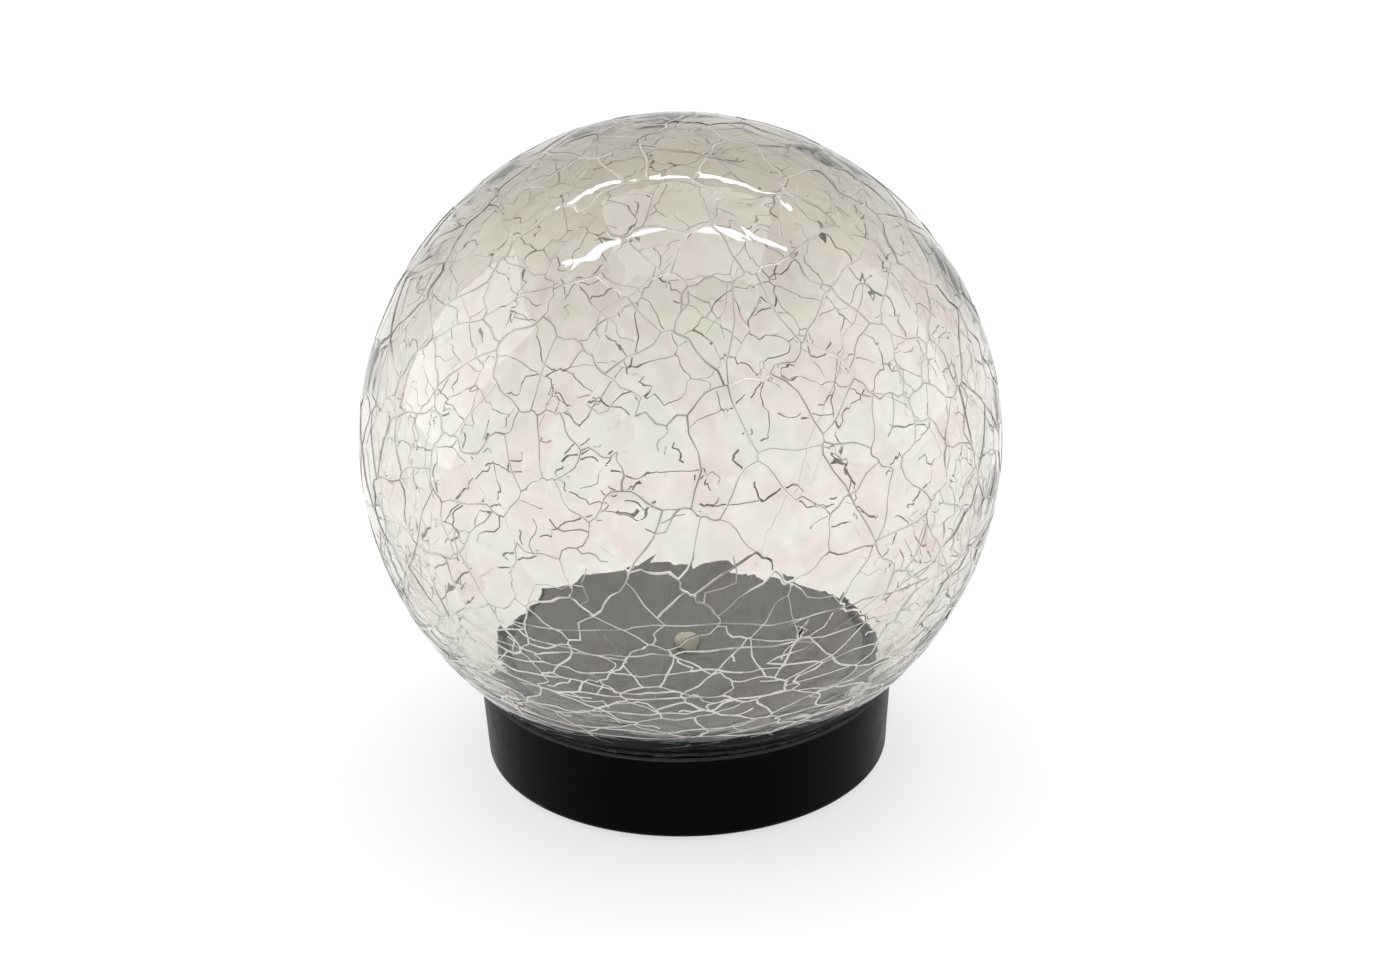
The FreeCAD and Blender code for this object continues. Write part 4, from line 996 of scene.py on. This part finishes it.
# %% Tables of plain finishes
PLAIN = {
    # name: dark colour, pale colour, roughness low and high, grain per metre, grain depth in mm
    "black_plastic": ((0.0005, 0.0005, 0.0005), (0.0012, 0.0012, 0.0013), 0.30, 0.38, 2600, 0.012),
    "cover_plastic": ((0.008, 0.008, 0.009), (0.014, 0.014, 0.015), 0.5, 0.62, 1500, 0.05),
    "black_silicone": ((0.006, 0.006, 0.006), (0.012, 0.012, 0.012), 0.5, 0.65, 900, 0.02),
    "foot_rubber": ((0.018, 0.018, 0.019), (0.035, 0.035, 0.036), 0.75, 0.9, 1900, 0.04),
    "chip_plastic": ((0.012, 0.012, 0.013), (0.02, 0.02, 0.021), 0.55, 0.7, 2500, 0.02),
    "ferrite": ((0.03, 0.031, 0.034), (0.05, 0.052, 0.056), 0.5, 0.75, 1400, 0.04),
    "red_insulation": ((0.45, 0.015, 0.012), (0.55, 0.022, 0.018), 0.35, 0.5, 700, 0.01),
    "black_insulation": ((0.01, 0.01, 0.01), (0.018, 0.018, 0.018), 0.35, 0.5, 700, 0.01),
    "cell_sleeve": ((0.03, 0.16, 0.10), (0.04, 0.19, 0.12), 0.22, 0.32, 400, 0.01),
    "switch_plastic": ((0.01, 0.01, 0.011), (0.018, 0.018, 0.019), 0.4, 0.5, 2200, 0.015),
    "clear_tape": ((0.55, 0.53, 0.44), (0.64, 0.62, 0.52), 0.35, 0.5, 500, 0.01),
}
METAL = {
    # name: dark colour, pale colour, roughness low and high, grain per metre
    "tinned_steel": ((0.62, 0.62, 0.61), (0.74, 0.74, 0.72), 0.22, 0.36, 900),
    "zinc_steel": ((0.55, 0.56, 0.57), (0.7, 0.71, 0.72), 0.25, 0.42, 1300),
    "nickel_plate": ((0.62, 0.59, 0.54), (0.74, 0.71, 0.66), 0.18, 0.3, 1100),
    "copper_wire": ((0.62, 0.28, 0.16), (0.78, 0.38, 0.22), 0.25, 0.35, 1500),
}
print(len(PLAIN), "plain finishes and", len(METAL), "metals")

# %% Plain finishes
COLOUR_CLOUD, ROUGH_CLOUD = 90, 240


def cloudy(tree, shader, value, dark, pale):
    """Colours the surface from dark to pale along a cloud."""
    cloud = between(tree, value, colour(*dark), colour(*pale), ALL_NOISE)
    wire(tree, cloud, shader, "Base Color")


def plain_finish(name, dark, pale, low, high, grain, depth):
    """Two colours by a slow cloud, roughness by another, and a fine grain of the given depth."""
    material, tree, shader = new_finish("dressed_" + name, Specular_IOR_Level=0.35)
    cloudy(tree, shader, noise(tree, COLOUR_CLOUD, 3), dark, pale)
    rough = spread(tree, noise(tree, ROUGH_CLOUD, 4), low, high, *MOST_NOISE)
    wire(tree, rough, shader, "Roughness")
    bumpy(tree, shader, noise(tree, grain, 3, roughness=0.65), depth * MM)
    return material


finishes = {name: plain_finish(name, *values) for name, values in PLAIN.items()}
print(len(finishes), "plain finishes are made")

# %% Metals
BRUSH_STRETCH, BRUSH_DEPTH = (0.15, 1, 1), 0.004 * MM


def metal_finish(name, dark, pale, low, high, grain):
    """Brushed metal: a cloud that is drawn out along x moves the colour and the roughness."""
    material, tree, shader = new_finish("dressed_" + name, Metallic=1.0)
    brushed = noise(tree, grain, 4, stretch=BRUSH_STRETCH)
    cloudy(tree, shader, brushed, dark, pale)
    wire(tree, spread(tree, brushed, low, high, *ALL_NOISE), shader, "Roughness")
    bumpy(tree, shader, brushed, BRUSH_DEPTH)
    return material


finishes.update({name: metal_finish(name, *values) for name, values in METAL.items()})
print(len(finishes), "finishes")

# %% [markdown]
# ## A painted highlight on the lip
# The black base is deep black and reflects little, so the highlight on the rounded upper edge of
# its lip is painted into its colour as a thin paler line. Only places that are both high enough
# and far enough out belong to that edge, so two masks are multiplied: one by height and one by
# distance from the axis.

# %% Lip of the base
LIP_HEIGHT, LIP_RADIUS = (0.0176, 0.0178), (0.0386, 0.0388)
PAINTED_LIP_HIGHLIGHT, BASE_SPECULAR = 0.06, 0.035
tree = finishes["black_plastic"].node_tree
shader = tree.nodes["Principled BSDF"]
shader.inputs["Specular IOR Level"].default_value = BASE_SPECULAR
spot = object_spot(tree)
height = add(tree, "SeparateXYZ", {"Vector": spot}).outputs["Z"]
inputs = {0: spot, 1: (1.0, 1.0, 0.0)}
level = add(tree, "VectorMath", inputs, operation="MULTIPLY").outputs[0]
outward = add(tree, "VectorMath", {0: level}, operation="LENGTH").outputs["Value"]
high = spread(tree, height, 0.0, 1.0, *LIP_HEIGHT)
far = spread(tree, outward, 0.0, 1.0, *LIP_RADIUS)
# painted highlight: high up and far out on the lip, the base colour turns a paler grey
highlight_painted = reckon(tree, "MULTIPLY", high, far)
body_colour = shader.inputs["Base Color"].links[0].from_socket
wire(tree, mix(tree, highlight_painted, body_colour, colour(PAINTED_LIP_HIGHLIGHT)), shader, "Base Color")
print("the lip is rubbed from", LIP_HEIGHT[0], "m up")

# %% [markdown]
# # Panel, board and lamp
# The panel's face is clear resin over dark silicon: a dark grey that shines. Faint pale lines
# across it are the silver fingers that collect the current. The board is green lacquer over
# woven glass fibre, and the lamp is a small lens of warm white resin.

# %% Panel face
FINGER_PITCH, FINGER_SHARE = 2.0 * MM, 0.05
RESIN = colour(0.036, 0.037, 0.036), colour(0.048, 0.046, 0.044)
RESIN_FINGER = colour(0.085, 0.085, 0.08)


def lines_across(tree, axis, pitch, share):
    """1 on thin lines across an axis and 0 between: the fraction of place / pitch under share."""
    scaled = reckon(tree, "DIVIDE", along_axis(tree, axis), pitch)
    return reckon(tree, "LESS_THAN", reckon(tree, "FRACT", scaled), share)


material, tree, shader = new_finish("dressed_panel_face", Coat_Weight=0.6, Coat_Roughness=0.05)
cloud = between(tree, noise(tree, 60), *RESIN)
fingers = lines_across(tree, "X", FINGER_PITCH, FINGER_SHARE)
wire(tree, mix(tree, fingers, cloud, RESIN_FINGER), shader, "Base Color")
wire(tree, spread(tree, noise(tree, 300, 3), 0.12, 0.24, *MOST_NOISE), shader, "Roughness")
bumpy(tree, shader, noise(tree, 90, 1), 0.02 * MM)
finishes["panel_face"] = material
print("the panel's fingers are", round(FINGER_PITCH / MM, 1), "mm apart")

# %% Silicon
SILICON = colour(0.012, 0.016, 0.035), colour(0.022, 0.028, 0.055)
SILVER, SILVER_SHARE = colour(0.5, 0.5, 0.48), 0.06
material, tree, shader = new_finish("dressed_silicon", Roughness=0.25)
cloud = between(tree, noise(tree, 220, 1), *SILICON, ALL_NOISE)
fingers = lines_across(tree, "X", FINGER_PITCH, SILVER_SHARE)
wire(tree, mix(tree, fingers, cloud, SILVER), shader, "Base Color")
finishes["silicon"] = material
print("silver covers", SILVER_SHARE, "of the silicon")

# %% Board
WEAVE_PITCH, WEAVE_SHARE = 0.8 * MM, 0.5
TRACK_PITCH, TRACK_SHARE = 3.2 * MM, 0.12
LACQUER = colour(0.010, 0.085, 0.035), colour(0.013, 0.10, 0.042)
TRACK = colour(0.022, 0.15, 0.07)
material, tree, shader = new_finish("dressed_fibre_board", Coat_Weight=0.4)
weave = mix(tree, lines_across(tree, "X", WEAVE_PITCH, WEAVE_SHARE), *LACQUER)
weave = mix(tree, lines_across(tree, "Y", TRACK_PITCH, TRACK_SHARE), weave, TRACK)
wire(tree, weave, shader, "Base Color")
wire(tree, spread(tree, noise(tree, 500, 3), 0.3, 0.45, *MOST_NOISE), shader, "Roughness")
finishes["fibre_board"] = material
print("the board's tracks are", round(TRACK_PITCH / MM, 1), "mm apart")

# %% Lamp
WARM = colour(0.82, 0.76, 0.60), colour(0.90, 0.85, 0.72)
material, tree, shader = new_finish("dressed_lamp_lens", Roughness=0.12, Subsurface_Weight=0.3)
shader.inputs["Subsurface Radius"].default_value = (0.002, 0.0015, 0.001)
wire(tree, between(tree, noise(tree, 500), *WARM), shader, "Base Color")
finishes["lamp_lens"] = material
print(len(finishes), "finishes are ready")

# %% [markdown]
# # Dressing the frame
# Each solid of the frame comes with a plain material named after its finish. The loop swaps it
# for the dressed one of that name and leaves the shape alone.

# %% Dress every solid
for name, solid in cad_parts.items():
    for holder in solid.material_slots:
        if holder.material.name in finishes:
            holder.material = finishes[holder.material.name]
            print("dressed", name)
        elif name != "glass_globe":
            print("no finish for", name, holder.material.name)
